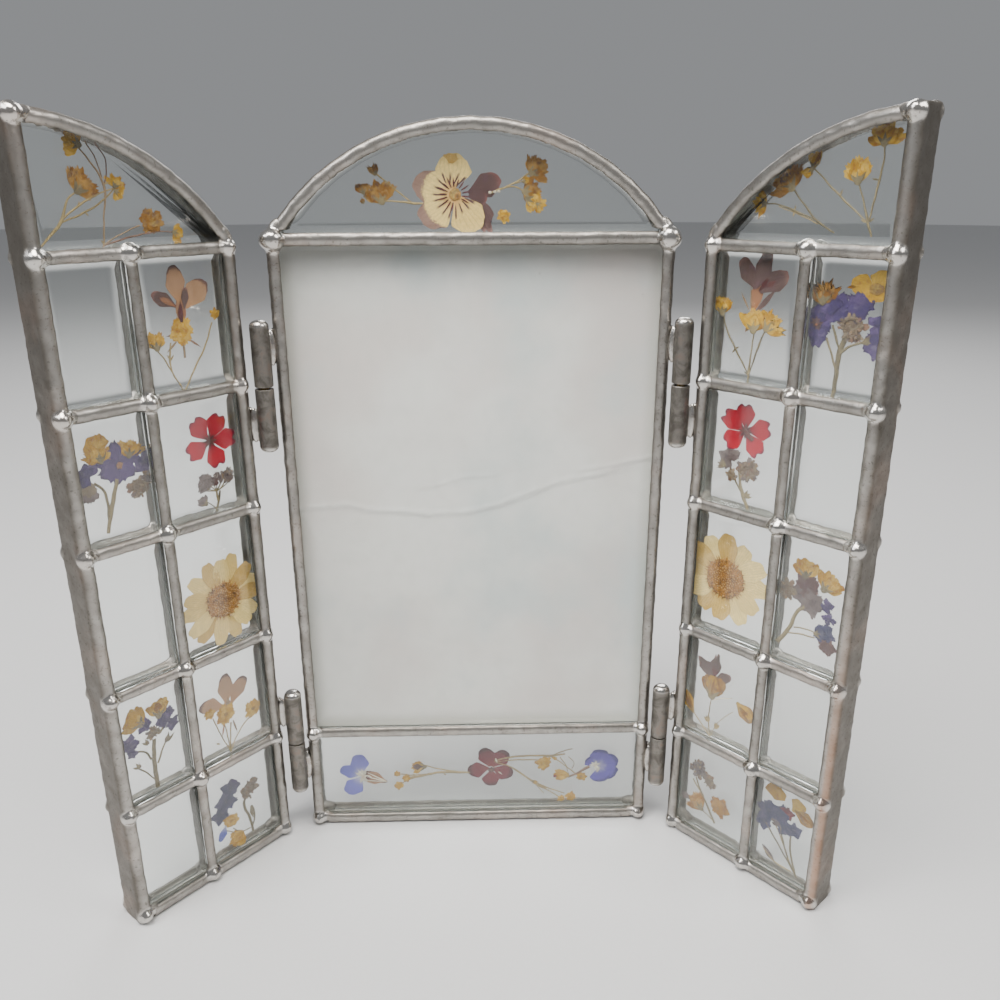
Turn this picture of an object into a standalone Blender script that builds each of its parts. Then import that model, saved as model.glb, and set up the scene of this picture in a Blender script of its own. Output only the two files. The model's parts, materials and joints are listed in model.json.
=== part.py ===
"""Standing three-leaf frame of soldered metal came and glass, with pressed flowers sealed in its panes.

The centre leaf holds a picture between a flower lunette and a low flower pane. Two narrow leaves
hang on barrel hinges at its sides and can close over its face, and each follows half of its arch.

+Z is up and the front faces -Y. The origin is the middle of the centre leaf's underside. Sizes are
in metres. On a leaf, `across` runs along the leaf, and `depth` runs from its front to its back,
with zero at the middle of its thickness.
"""

import math

import bmesh
import bpy
from mathutils import Matrix, Vector

MM = 0.001

# Driving dimensions of the leaves.
CENTRE_WIDTH = 89.0 * MM          # between the centre lines of the centre leaf's two stiles
DOOR_WIDTH = 41.6 * MM            # between the centre lines of a door's two stiles
ARCH_SPRING = 157.3 * MM          # height where the arch leaves the stiles
ARCH_RISE = 24.0 * MM             # from the spring line to the middle of the arch's top
LOWER_RAIL = 29.2 * MM            # centre leaf's rail between the picture and the low pane
DOOR_RAILS = [156.1 * MM, 125.3 * MM, 95.5 * MM, 61.3 * MM, 30.9 * MM]
MULLION_SHARE = 0.55              # of the door's width, from the hinge side
DOOR_SWING = math.radians(48.4)   # how far each door stands forward of the centre leaf's plane

# Metal came: a bead along each face, and a heart or an outer wall between the two.
BEAD_HALF_WIDTH = 1.6 * MM
BEAD_HEIGHT = 1.05 * MM
FLANGE_DEPTH = 3.45 * MM          # where the beads' flat inner sides lie
HEART_HALF = 0.4 * MM             # half thickness of the heart between two panes
WALL_INNER = -0.2 * MM            # inner side of the outer wall, beside the came's centre line
BEAD_STEPS = 4
ARCH_STEPS = 18
DOOR_ARCH_STEPS = 10
ARCH_OVERRUN = math.radians(4.0)  # an arch is swept past its spring line, then cut level
MULLION_TRIM = 0.05 * MM          # the mullion's beads are this much slimmer than the rails'

# Solder balls where the cames cross.
BALL_RADIUS = 2.1 * MM
BALL_DEPTH = 4.3 * MM
BALL_BASE_DEPTH = 3.5 * MM
BALL_ROOM = 0.4 * MM              # clearance round a ball in the bars that meet it
BALL_SEGMENTS = 6
BALL_RINGS = 4
FOOT_BALL_HEIGHT = 2.1 * MM

# Panes and what lies between them.
GAP = 0.3 * MM                    # clearance between neighbouring pieces
GLASS_OUTER = 3.15 * MM           # outer face of each sheet
GLASS_INNER = 0.35 * MM           # inner face, which leaves room for the flowers
PAPER_FRONT = -0.05 * MM
PAPER_BACK = 0.25 * MM
CARD_FRONT = 0.55 * MM
GLASS_ARC_STEPS = 16

# Barrel hinges. The axis lies beside the stiles and in front of them, so the doors can close.
AXIS_ACROSS = 4.0 * MM            # from a stile's centre line to the hinge axis
AXIS_FORWARD = 6.5 * MM           # from the leaf's mid-plane to the hinge axis
BARREL_RADIUS = 2.2 * MM
BARREL_HALF = 15.5 * MM           # one barrel, from the hinge's parting line to its far end
PARTING = 0.2 * MM                # each barrel stands this far from the parting line
BORE_RADIUS = 1.35 * MM
PIN_RADIUS = 1.0 * MM
BORE_LENGTH = 12.0 * MM
PIN_REACH = 11.6 * MM
DOME_HEIGHT = 1.4 * MM
BARREL_SEGMENTS = 12
LEAF_NEAR = 1.9 * MM              # soldered leaf: its near face, from the stile's centre line
LEAF_FAR = 3.1 * MM
LEAF_BACK = -1.5 * MM             # depth at which the leaf ends
LEAF_START = 5.2 * MM             # the leaf starts this far from the parting line, clear of a ball
LEAF_END = 12.6 * MM
UPPER_HINGE = 124.5 * MM
LOWER_HINGE = 28.6 * MM

BOTTOM_LINE = BEAD_HALF_WIDTH
HALF_WIDTH = CENTRE_WIDTH / 2.0
ARCH_RADIUS = (HALF_WIDTH ** 2 + ARCH_RISE ** 2) / (2.0 * ARCH_RISE)
ARCH_CENTRE = ARCH_SPRING + ARCH_RISE - ARCH_RADIUS
MULLION = AXIS_ACROSS + MULLION_SHARE * DOOR_WIDTH
OUTER_STILE = AXIS_ACROSS + DOOR_WIDTH
DOOR_ARCH_MIDDLE = AXIS_ACROSS + HALF_WIDTH   # where the closed door's arch would peak
DOOR_TOP = ARCH_SPRING + ARCH_RISE
CENTRE_CORNER = ARCH_SPRING + BEAD_HALF_WIDTH    # where the stiles end and the arch starts
DOOR_CORNER = DOOR_RAILS[0] + BEAD_HALF_WIDTH
SHARP_ANGLE = math.radians(40.0)
DEPTH_AXIS = Vector((0.0, 1.0, 0.0))
UP = Vector((0.0, 0.0, 1.0))
ACROSS = Vector((1.0, 0.0, 0.0))


def clear_scene():
    for item in list(bpy.data.objects):
        bpy.data.objects.remove(item, do_unlink=True)


def make_material(name, colour, roughness, metallic, transmission=0.0):
    material = bpy.data.materials.new(name)
    material.use_nodes = True
    shader = material.node_tree.nodes["Principled BSDF"]
    shader.inputs["Base Color"].default_value = (*colour, 1.0)
    shader.inputs["Roughness"].default_value = roughness
    shader.inputs["Metallic"].default_value = metallic
    shader.inputs["Transmission Weight"].default_value = transmission
    material.diffuse_color = (*colour, 1.0)
    return material


def add_object(name, bm, material=None, parent=None):
    """Turn a bmesh into an object whose faces point outwards."""
    bmesh.ops.recalc_face_normals(bm, faces=bm.faces[:])
    mesh = bpy.data.meshes.new(name)
    bm.to_mesh(mesh)
    bm.free()
    item = bpy.data.objects.new(name, mesh)
    bpy.context.scene.collection.objects.link(item)
    item.parent = parent
    if material is not None:
        mesh.materials.append(material)
        mesh.shade_smooth()
        mesh.set_sharp_from_angle(angle=SHARP_ANGLE)
    return item


def add_helper(name, bm, parent=None):
    """A shape that only serves a Boolean modifier."""
    item = add_object(name, bm, parent=parent)
    item.hide_render = True
    item.display_type = "WIRE"
    return item


def combine(item, helper, operation):
    modifier = item.modifiers.new(helper.name, "BOOLEAN")
    modifier.operation = operation
    modifier.solver = "EXACT"
    modifier.object = helper


def bead(side, trim=0.0):
    """Points of one rounded bead, from one edge over its crown to the other."""
    points = []
    for step in range(BEAD_STEPS + 1):
        angle = math.pi * step / BEAD_STEPS
        across = -side * (BEAD_HALF_WIDTH - trim) * math.cos(angle)
        depth = side * (FLANGE_DEPTH + trim + (BEAD_HEIGHT - 2.0 * trim) * math.sin(angle))
        points.append((across, depth))
    return points


def edge_came():
    """Section of the came round a leaf's edge, with its channel open towards the glass (+across)."""
    channel = [(WALL_INNER, FLANGE_DEPTH), (WALL_INNER, -FLANGE_DEPTH)]
    return bead(-1) + bead(1) + channel


def bar_came(trim=0.0):
    """Section of a came between two panes, with a channel on each side."""
    flange = FLANGE_DEPTH + trim
    left = [(-HEART_HALF, -flange), (-HEART_HALF, flange)]
    right = [(HEART_HALF, flange), (HEART_HALF, -flange)]
    return bead(-1, trim) + left + bead(1, trim) + right


def sweep(section, stations):
    """Loft a closed section through stations, each an origin and the direction of its width."""
    bm = bmesh.new()
    rings = []
    for origin, direction in stations:
        rings.append([bm.verts.new(origin + direction * a + DEPTH_AXIS * d) for a, d in section])
    count = len(section)
    for first, second in zip(rings, rings[1:]):
        for i in range(count):
            j = (i + 1) % count
            bm.faces.new((first[i], first[j], second[j], second[i]))
    bm.faces.new(rings[0])
    bm.faces.new(rings[-1])
    return bm


def upright(section, across, low, high, glass_side=1.0):
    direction = ACROSS * glass_side
    start = ACROSS * across + UP * low
    end = ACROSS * across + UP * high
    return sweep(section, [(start, direction), (end, direction)])


def level(section, height, start, end):
    return sweep(section, [(ACROSS * start + UP * height, UP), (ACROSS * end + UP * height, UP)])


def arc_point(middle, radius, angle):
    """A point of the arch's circle; the angle is from the top, positive towards +across."""
    return Vector((middle + radius * math.sin(angle), 0.0, ARCH_CENTRE + radius * math.cos(angle)))


def arc_outline(middle, radius, start, end):
    outline = []
    for step in range(GLASS_ARC_STEPS + 1):
        point = arc_point(middle, radius, start + (end - start) * step / GLASS_ARC_STEPS)
        outline.append((point.x, point.z))
    return outline


def arch_bar(middle, start, end, steps):
    stations = []
    for step in range(steps + 1):
        angle = start + (end - start) * step / steps
        inward = Vector((-math.sin(angle), 0.0, -math.cos(angle)))
        stations.append((arc_point(middle, ARCH_RADIUS, angle), inward))
    return sweep(edge_came(), stations)


def trim(bm, point, normal):
    """Cut off what lies on the normal's side of a plane and close the cut."""
    geometry = bm.verts[:] + bm.edges[:] + bm.faces[:]
    cut = bmesh.ops.bisect_plane(bm, geom=geometry, plane_co=point, plane_no=normal, clear_outer=True)
    rim = [part for part in cut["geom_cut"] if isinstance(part, bmesh.types.BMEdge)]
    bmesh.ops.edgeloop_fill(bm, edges=rim)


def slab(outline, front, back):
    """A flat sheet with the given outline of (across, height) points."""
    bm = bmesh.new()
    near = [bm.verts.new((a, front, h)) for a, h in outline]
    far = [bm.verts.new((a, back, h)) for a, h in outline]
    count = len(outline)
    for i in range(count):
        j = (i + 1) % count
        bm.faces.new((near[i], near[j], far[j], far[i]))
    bm.faces.new(near)
    bm.faces.new(far)
    return bm


def rectangle(left, right, low, high):
    return [(left, low), (right, low), (right, high), (left, high)]


def merge_into(bm, other):
    mesh = bpy.data.meshes.new("scratch")
    other.to_mesh(mesh)
    other.free()
    bm.from_mesh(mesh)
    bpy.data.meshes.remove(mesh)


def sphere(radius, centre):
    """A plain ball whose poles point to the leaf's front and back."""
    bm = bmesh.new()
    turn = Matrix.Rotation(math.pi / 2.0, 4, "X")
    bmesh.ops.create_uvsphere(
        bm, u_segments=BALL_SEGMENTS, v_segments=BALL_RINGS, radius=radius, matrix=turn)
    bmesh.ops.translate(bm, vec=centre, verts=bm.verts[:])
    return bm


def ball_domes(places):
    """Domed solder balls on both faces of a leaf at (across, height) places."""
    bm = bmesh.new()
    for across, height in places:
        for side in (-1.0, 1.0):
            ball = sphere(BALL_RADIUS, (across, side * BALL_DEPTH, height))
            trim(ball, DEPTH_AXIS * side * BALL_BASE_DEPTH, DEPTH_AXIS * -side)
            bmesh.ops.recalc_face_normals(ball, faces=ball.faces[:])
            merge_into(bm, ball)
    return bm


def ball_rooms(places):
    """Spheres a little larger than the balls, which clear the ends of the bars that meet them."""
    bm = bmesh.new()
    for across, height in places:
        for side in (-1.0, 1.0):
            merge_into(bm, sphere(BALL_RADIUS + BALL_ROOM, (across, side * BALL_DEPTH, height)))
    return bm


class Leaf:
    """One leaf of the frame. A door's pieces hang on its empty, mirrored on the left side."""

    def __init__(self, prefix, side=0.0, parent=None):
        self.prefix = prefix
        self.side = side
        self.parent = parent

    def settle(self, bm):
        """Move a door's shape from leaf space to its hinge axis's space; the centre leaf stays."""
        if self.side:
            bmesh.ops.translate(bm, vec=(0.0, AXIS_FORWARD, 0.0), verts=bm.verts[:])
            bmesh.ops.scale(bm, vec=(self.side, 1.0, 1.0), verts=bm.verts[:])
        return bm

    def piece(self, name, bm, material):
        return add_object(self.prefix + name, self.settle(bm), material, self.parent)

    def join(self, item, label, bm):
        combine(item, add_helper(item.name + label, self.settle(bm), self.parent), "UNION")

    def join_balls(self, item, places):
        self.join(item, "_balls", ball_domes(places))

    def clear_balls(self, item, places):
        helper = add_helper(item.name + "_rooms", self.settle(ball_rooms(places)), self.parent)
        combine(item, helper, "DIFFERENCE")


def spun(profile):
    """Turn a profile of (radius, height) points round the vertical axis; its ends lie on the axis."""
    bm = bmesh.new()
    rings = []
    for radius, height in profile:
        if radius == 0.0:
            rings.append([bm.verts.new((0.0, 0.0, height))])
            continue
        ring = []
        for step in range(BARREL_SEGMENTS):
            angle = 2.0 * math.pi * step / BARREL_SEGMENTS
            ring.append(bm.verts.new((radius * math.cos(angle), radius * math.sin(angle), height)))
        rings.append(ring)
    for first, second in zip(rings, rings[1:]):
        for i in range(BARREL_SEGMENTS):
            j = (i + 1) % BARREL_SEGMENTS
            corners = [first[i % len(first)], first[j % len(first)], second[j % len(second)],
                       second[i % len(second)]]
            bm.faces.new(list(dict.fromkeys(corners)))
    return bm


def barrel(parting_height, direction):
    """One blind-bored barrel with a domed far end; direction is +1 above the parting line."""
    shoulder = BARREL_HALF - DOME_HEIGHT
    profile = [
        (0.0, BORE_LENGTH),
        (BORE_RADIUS, BORE_LENGTH),
        (BORE_RADIUS, PARTING),
        (BARREL_RADIUS, PARTING),
        (BARREL_RADIUS, shoulder),
    ]
    for turn in (math.radians(30.0), math.radians(60.0)):
        profile.append((BARREL_RADIUS * math.cos(turn), shoulder + DOME_HEIGHT * math.sin(turn)))
    profile.append((0.0, BARREL_HALF))
    return spun([(radius, parting_height + direction * height) for radius, height in profile])


def pin(parting_height):
    low = parting_height - PIN_REACH
    high = parting_height + PIN_REACH
    return spun([(0.0, low), (PIN_RADIUS, low), (PIN_RADIUS, high), (0.0, high)])


def hinge_leaf(side, parting_height, direction):
    """The soldered leaf that carries a barrel along the side of its stile, in the axis's own space."""
    near = side * (AXIS_ACROSS - LEAF_FAR)
    far = side * (AXIS_ACROSS - LEAF_NEAR)
    low = parting_height + direction * LEAF_START
    high = parting_height + direction * LEAF_END
    front = BORE_RADIUS + GAP
    back = AXIS_FORWARD + LEAF_BACK
    return slab(rectangle(near, far, low, high), front, back)


def make_hinge(label, side, parting_height, frame_direction, fixed_axis, door_axis, metal):
    """Two barrels and their pin. The frame's barrel points up or down from the parting line."""
    halves = (
        ("frame", frame_direction, -side, fixed_axis),
        ("door", -frame_direction, side, door_axis),
    )
    for owner, direction, reach, parent in halves:
        name = label + "_barrel_" + owner
        item = add_object(name, barrel(parting_height, direction), metal, parent)
        leaf = add_helper(name + "_leaf", hinge_leaf(reach, parting_height, direction), parent)
        combine(item, leaf, "UNION")
    add_object(label + "_hinge_pin", pin(parting_height), metal, fixed_axis)


def lunette_outline():
    """Segment of the arch above the top rail, inside the came's channel."""
    radius = ARCH_RADIUS - (WALL_INNER + GAP)
    low = ARCH_SPRING + HEART_HALF + GAP
    half_angle = math.acos((low - ARCH_CENTRE) / radius)
    return arc_outline(0.0, radius, half_angle, -half_angle)


def make_centre(metal, glass, paper, card):
    leaf = Leaf("center_")
    ball_heights = [ARCH_SPRING, LOWER_RAIL, FOOT_BALL_HEIGHT]
    every_ball = []
    for side, side_name in ((-1.0, "left"), (1.0, "right")):
        balls = [(side * HALF_WIDTH, height) for height in ball_heights]
        every_ball += balls
        bm = upright(edge_came(), side * HALF_WIDTH, 0.0, CENTRE_CORNER, -side)
        leaf.join_balls(leaf.piece("stile_" + side_name, bm, metal), balls)

    reach = math.asin(HALF_WIDTH / ARCH_RADIUS) + ARCH_OVERRUN
    arch = arch_bar(0.0, -reach, reach, ARCH_STEPS)
    trim(arch, UP * (CENTRE_CORNER + GAP), -UP)
    leaf.clear_balls(leaf.piece("arch", arch, metal), every_ball)

    end = HALF_WIDTH - BEAD_HALF_WIDTH - GAP
    rails = (
        ("top_rail", bar_came(), ARCH_SPRING),
        ("lower_rail", bar_came(), LOWER_RAIL),
        ("bottom_rail", edge_came(), BOTTOM_LINE),
    )
    for name, section, height in rails:
        leaf.clear_balls(leaf.piece(name, level(section, height, -end, end), metal), every_ball)

    side_edge = HALF_WIDTH - (WALL_INNER + GAP)
    clearance = HEART_HALF + GAP
    low_pane = rectangle(-side_edge, side_edge, BOTTOM_LINE + WALL_INNER + GAP, LOWER_RAIL - clearance)
    picture = rectangle(-side_edge, side_edge, LOWER_RAIL + clearance, ARCH_SPRING - clearance)
    for name, outline in (("lunette_glass", lunette_outline()), ("lower_glass", low_pane)):
        add_object(name + "_front", slab(outline, -GLASS_OUTER, -GLASS_INNER), glass)
        add_object(name + "_back", slab(outline, GLASS_INNER, GLASS_OUTER), glass)
    add_object("picture_glass", slab(picture, -GLASS_OUTER, -GLASS_INNER), glass)
    add_object("picture_paper", slab(picture, PAPER_FRONT, PAPER_BACK), paper)
    add_object("backing_card", slab(picture, CARD_FRONT, GLASS_OUTER), card)


def door_arch_outline():
    """The quarter pane under a door's arch, inside the channels of its cames."""
    radius = ARCH_RADIUS - (WALL_INNER + GAP)
    low = DOOR_RAILS[0] + HEART_HALF + GAP
    near = AXIS_ACROSS + WALL_INNER + GAP
    far = OUTER_STILE - WALL_INNER - GAP
    start = math.asin((near - DOOR_ARCH_MIDDLE) / radius)
    end = math.asin((far - DOOR_ARCH_MIDDLE) / radius)
    return [(far, low), (near, low)] + arc_outline(DOOR_ARCH_MIDDLE, radius, start, end)


def make_door(side_name, side, parent, metal, glass):
    leaf = Leaf(side_name + "_", side, parent)
    heights = DOOR_RAILS + [FOOT_BALL_HEIGHT]
    inner_balls = [(AXIS_ACROSS, height) for height in heights]
    outer_balls = [(OUTER_STILE, height) for height in heights + [DOOR_TOP]]
    foot_ball = (MULLION, FOOT_BALL_HEIGHT)
    end_balls = inner_balls + outer_balls
    inner_edge = AXIS_ACROSS + BEAD_HALF_WIDTH + GAP
    outer_edge = OUTER_STILE - BEAD_HALF_WIDTH - GAP

    inner = upright(edge_came(), AXIS_ACROSS, 0.0, DOOR_CORNER)
    leaf.join_balls(leaf.piece("door_inner_stile", inner, metal), inner_balls)
    outer = upright(edge_came(), OUTER_STILE, 0.0, DOOR_TOP + BEAD_HALF_WIDTH, -1.0)
    leaf.join_balls(leaf.piece("door_outer_stile", outer, metal), outer_balls)

    start = -math.asin(HALF_WIDTH / ARCH_RADIUS) - ARCH_OVERRUN
    arch = arch_bar(DOOR_ARCH_MIDDLE, start, 0.0, DOOR_ARCH_STEPS)
    trim(arch, UP * (DOOR_CORNER + GAP), -UP)
    trim(arch, ACROSS * outer_edge, ACROSS)
    leaf.clear_balls(leaf.piece("door_arch", arch, metal), end_balls)

    bottom = leaf.piece("door_bottom_rail", level(edge_came(), BOTTOM_LINE, inner_edge, outer_edge), metal)
    leaf.clear_balls(bottom, end_balls)
    leaf.join_balls(bottom, [foot_ball])

    rails = bmesh.new()
    for height in DOOR_RAILS:
        merge_into(rails, level(bar_came(), height, inner_edge, outer_edge))
    lattice = leaf.piece("door_lattice", rails, metal)
    mullion_low = BOTTOM_LINE + BEAD_HALF_WIDTH + GAP
    mullion_high = DOOR_RAILS[0] + 0.5 * HEART_HALF
    leaf.join(lattice, "_mullion", upright(bar_came(MULLION_TRIM), MULLION, mullion_low, mullion_high))
    leaf.join_balls(lattice, [(MULLION, height) for height in DOOR_RAILS])
    leaf.clear_balls(lattice, end_balls + [foot_ball])
    make_door_panes(leaf, glass)


def make_door_panes(leaf, glass):
    """Each pane is two sheets with flowers between them, as one solid."""
    leaf.piece("pane_arch", slab(door_arch_outline(), -GLASS_OUTER, GLASS_OUTER), glass)
    clearance = HEART_HALF + GAP
    columns = (
        ("inner", AXIS_ACROSS + WALL_INNER + GAP, MULLION - clearance),
        ("outer", MULLION + clearance, OUTER_STILE - WALL_INNER - GAP),
    )
    tops = [height - clearance for height in DOOR_RAILS]
    feet = [height + clearance for height in DOOR_RAILS[1:]] + [BOTTOM_LINE + WALL_INNER + GAP]
    for row, (low, high) in enumerate(zip(feet, tops), start=1):
        for column, left, right in columns:
            outline = rectangle(left, right, low, high)
            leaf.piece(f"pane_{row}_{column}", slab(outline, -GLASS_OUTER, GLASS_OUTER), glass)


def add_axis(name, side, angle):
    """An empty on a hinge axis; a door's own empty is turned to where the door stands."""
    empty = bpy.data.objects.new(name, None)
    bpy.context.scene.collection.objects.link(empty)
    empty.location = (side * (HALF_WIDTH + AXIS_ACROSS), -AXIS_FORWARD, 0.0)
    empty.rotation_euler = (0.0, 0.0, -side * angle)
    return empty


def main():
    clear_scene()
    metal = make_material("soldered_metal", (0.36, 0.34, 0.31), 0.35, 1.0)
    glass = make_material("clear_glass", (0.93, 0.97, 0.95), 0.03, 0.0, 1.0)
    paper = make_material("blank_paper", (0.78, 0.78, 0.76), 0.85, 0.0)
    card = make_material("backing_card", (0.36, 0.30, 0.23), 0.9, 0.0)
    make_centre(metal, glass, paper, card)
    for side_name, side in (("left", -1.0), ("right", 1.0)):
        fixed_axis = add_axis(side_name + "_hinge_axis", side, 0.0)
        door_axis = add_axis(side_name + "_door_axis", side, DOOR_SWING)
        make_door(side_name, side, door_axis, metal, glass)
        make_hinge(side_name + "_upper", side, UPPER_HINGE, 1.0, fixed_axis, door_axis, metal)
        make_hinge(side_name + "_lower", side, LOWER_HINGE, -1.0, fixed_axis, door_axis, metal)
    bpy.context.view_layer.update()


main()
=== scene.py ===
"""Looks of a standing three-leaf frame of soldered came and glass, with pressed flowers in its panes.

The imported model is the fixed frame. Each leaf has a flat space of its own: x runs along the leaf, y
from its front to its back with zero at the middle of its thickness, and z up. A door's x is zero at
its hinge. Pieces are modelled flat there and then carried to where the leaf stands. Places in tables
are in millimetres, and everything else is in metres.
"""

import json
import math
import random

import bpy
import numpy as np
from bpy.props import FloatProperty, FloatVectorProperty, IntProperty, PointerProperty
from mathutils import Matrix, Vector, noise

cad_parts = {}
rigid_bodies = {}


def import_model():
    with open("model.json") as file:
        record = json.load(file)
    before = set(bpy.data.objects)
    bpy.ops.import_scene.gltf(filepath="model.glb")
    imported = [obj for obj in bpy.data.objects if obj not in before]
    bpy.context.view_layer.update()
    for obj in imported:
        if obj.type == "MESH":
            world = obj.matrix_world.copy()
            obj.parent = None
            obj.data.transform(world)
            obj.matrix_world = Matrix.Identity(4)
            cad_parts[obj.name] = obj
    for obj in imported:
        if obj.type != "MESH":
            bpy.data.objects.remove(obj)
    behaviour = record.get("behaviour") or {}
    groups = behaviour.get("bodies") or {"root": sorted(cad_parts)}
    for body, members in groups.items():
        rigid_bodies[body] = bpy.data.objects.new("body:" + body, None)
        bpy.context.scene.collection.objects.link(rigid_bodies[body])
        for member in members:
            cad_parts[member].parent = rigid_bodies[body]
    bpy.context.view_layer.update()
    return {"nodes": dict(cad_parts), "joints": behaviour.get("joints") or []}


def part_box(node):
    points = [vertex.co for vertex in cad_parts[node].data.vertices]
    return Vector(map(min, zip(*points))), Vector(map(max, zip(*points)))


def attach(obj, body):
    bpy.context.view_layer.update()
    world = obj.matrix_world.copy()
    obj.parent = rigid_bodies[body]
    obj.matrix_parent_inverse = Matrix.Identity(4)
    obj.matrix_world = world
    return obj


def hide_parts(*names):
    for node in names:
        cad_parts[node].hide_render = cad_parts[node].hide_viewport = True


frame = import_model()

bl_info = {
    "name": "Pressed Flower Frame",
    "version": (1, 0, 0),
    "blender": (4, 5, 0),
    "location": "View3D > Sidebar > Flower Frame",
    "description": "Soldered cames, glass, paper and pressed flowers of a three-leaf frame",
    "category": "Object",
}

MM = 0.001

# Where the cames cross, in each leaf's own space, in millimetres.
CENTRE_STILE = 44.5
CENTRE_RAILS = (157.3, 29.2)
DOOR_STILES = (4.0, 45.6)
DOOR_MULLION = 26.88
DOOR_RAILS = (156.1, 125.3, 95.5, 61.3, 30.9)
DOOR_TOP = 181.3
FOOT = 2.1
BALL_DEPTH = 4.3

# The balls' radius in the CAD, and the round room for flowers under the arches, in millimetres.
CAD_BALL = 2.1
ARCH_CENTRE = 128.045
ARCH_ROOM = 52.3

# Where the hinges stand, and how their parts lie about the axis, in millimetres.
UPPER_HINGE = 124.5
LOWER_HINGE = 28.6
BARREL_RADIUS = 2.2
BARREL_HALF = 15.5
PARTING = 0.2
BORE_DEPTH = 11.8
STILE_FROM_AXIS = 4.0

# The two sheets of a pane, from its middle, in millimetres, and the panes with nothing between them.
SHEET_INNER = 0.35
SHEET_OUTER = 3.15
EMPTY_PANES = ("left_pane_1_outer", "left_pane_3_outer", "left_pane_5_outer", "right_pane_2_outer",
               "right_pane_4_outer")

# What is pressed between them: half its depth, a stem's depth, and a daisy's spiral of florets.
PRESSED_HALF = 0.33
STEM_THICKNESS = 0.3
FLORETS = 190
GOLDEN_ANGLE = 2.39996

# How far from a leaf's middle the drops' skirts and necks lie, in millimetres, and how the arch leaves
# its rail, across and up.
SKIRT_DEPTH = 3.45
NECK_DEPTH = 3.35
ARCH_RUN = (-0.5493, 0.8356)

# The camera's place in millimetres, its turns in degrees and its lens.
CAMERA_PLACE = (1.2157, -214.7288, 169.3337)
CAMERA_TURN = (70.658, 0.207, -1.404)
CAMERA_LENS = 32.642


def shade(name, description, default):
    """A colour that may be changed."""
    return FloatVectorProperty(name=name, description=description, default=default, subtype="COLOR")


def length(name, description, millimetres):
    """A size that may be changed."""
    return FloatProperty(name=name, description=description, default=millimetres * MM, unit="LENGTH")


class MetalFinish(bpy.types.PropertyGroup):
    """Solder and tinned tube."""

    tarnish: shade("Tarnish", "Dull metal in the cames' walls and hollows", (0.14, 0.126, 0.108))
    bright: shade("Bright solder", "Metal on the beads' crowns and the drops", (0.58, 0.555, 0.52))
    warm: shade("Copper tint", "Where the copper shows through thin solder", (0.5, 0.26, 0.15))
    grain: length("Flow size", "Smallest feature of the flowed solder", 0.36)
    lumps: length("Lump height", "How far the solder's surface rises and falls", 0.3)
    drop: length("Drop radius", "Radius of the drops where cames cross", 2.1)


class GlassFinish(bpy.types.PropertyGroup):
    """Sheets of the panes."""

    tint: shade("Tint", "Faint green of the sheets", (0.978, 0.992, 0.984))
    dust: shade("Dust", "Haze dried on the sheets near the cames", (0.62, 0.66, 0.62))
    bevel: length("Seamed edge", "Width of the ground corner of each sheet", 0.3)


class PaperFinish(bpy.types.PropertyGroup):
    """Blank sheet behind the large pane, and the card behind it."""

    ground: shade("Paper", "Off-white of the sheet", (0.66, 0.645, 0.62))
    blush: shade("Blush", "Warm patches of the sheet", (0.6, 0.545, 0.52))
    damp: shade("Damp", "Cool patches of the sheet", (0.5, 0.54, 0.54))
    board: shade("Board", "Grey-brown of the backing card", (0.2, 0.155, 0.11))
    crease: length("Crease", "Height of the folds across the sheet", 0.2)


class FlowerFinish(bpy.types.PropertyGroup):
    """Dried petals, heads and stems."""

    cream: shade("Cream", "Daisy and viola petals", (0.66, 0.46, 0.15))
    red: shade("Red", "Verbena petals", (0.42, 0.01, 0.02))
    ochre: shade("Ochre", "Small ragged heads", (0.28, 0.13, 0.014))
    golden: shade("Golden", "Bright yellow petals", (0.48, 0.265, 0.012))
    tan: shade("Tan", "Faded lobelia petals", (0.33, 0.165, 0.085))
    violet: shade("Violet", "Crumpled purple petals", (0.062, 0.037, 0.125))
    blue: shade("Blue", "Lobelia petals of the low pane", (0.1, 0.11, 0.46))
    wine: shade("Wine", "Dark red flower of the low pane", (0.13, 0.006, 0.02))
    mauve: shade("Mauve", "Browned purple petals", (0.09, 0.045, 0.04))
    fuzz: shade("Fuzz", "Hairy buds and coils", (0.17, 0.12, 0.075))
    straw: shade("Straw", "Thin dry stems", (0.27, 0.19, 0.065))
    olive: shade("Olive", "Thick green-brown stems", (0.115, 0.09, 0.042))
    seed: IntProperty(name="Seed", description="Chooses how the dry petals crumple", default=7, min=0)


class StudioLight(bpy.types.PropertyGroup):
    """Floor and lamps."""

    floor: shade("Floor", "Plain pale floor", (0.62, 0.62, 0.62))
    key: FloatProperty(name="Key", description="Large lamp overhead", default=9.0, min=0.0, unit="POWER")
    side: FloatProperty(
        name="Side", description="Soft lamps at the sides", default=4.0, min=0.0, unit="POWER")
    sky: FloatProperty(name="Sky", description="Strength of the even light all round", default=0.34, min=0.0)


class FlowerFrameSettings(bpy.types.PropertyGroup):
    """Every size and colour that may be changed."""

    metal: PointerProperty(type=MetalFinish)
    glass: PointerProperty(type=GlassFinish)
    paper: PointerProperty(type=PaperFinish)
    flowers: PointerProperty(type=FlowerFinish)
    light: PointerProperty(type=StudioLight)


def settings():
    return bpy.context.scene.flower_frame


# Modelling helpers


def deselect_all():
    bpy.ops.object.select_all(action="DESELECT")


def select_only(*items):
    deselect_all()
    for item in items:
        item.select_set(True)
    bpy.context.view_layer.objects.active = items[0]


def apply_modifiers(item):
    select_only(item)
    for modifier in list(item.modifiers):
        bpy.ops.object.modifier_apply(modifier=modifier.name)


def join_all(items, name):
    """Join meshes into one piece with a mesh of its own."""
    select_only(*items)
    if len(items) > 1:
        bpy.ops.object.join()
    piece = bpy.context.view_layer.objects.active
    piece.name = name
    piece.data.name = name
    return piece


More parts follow.
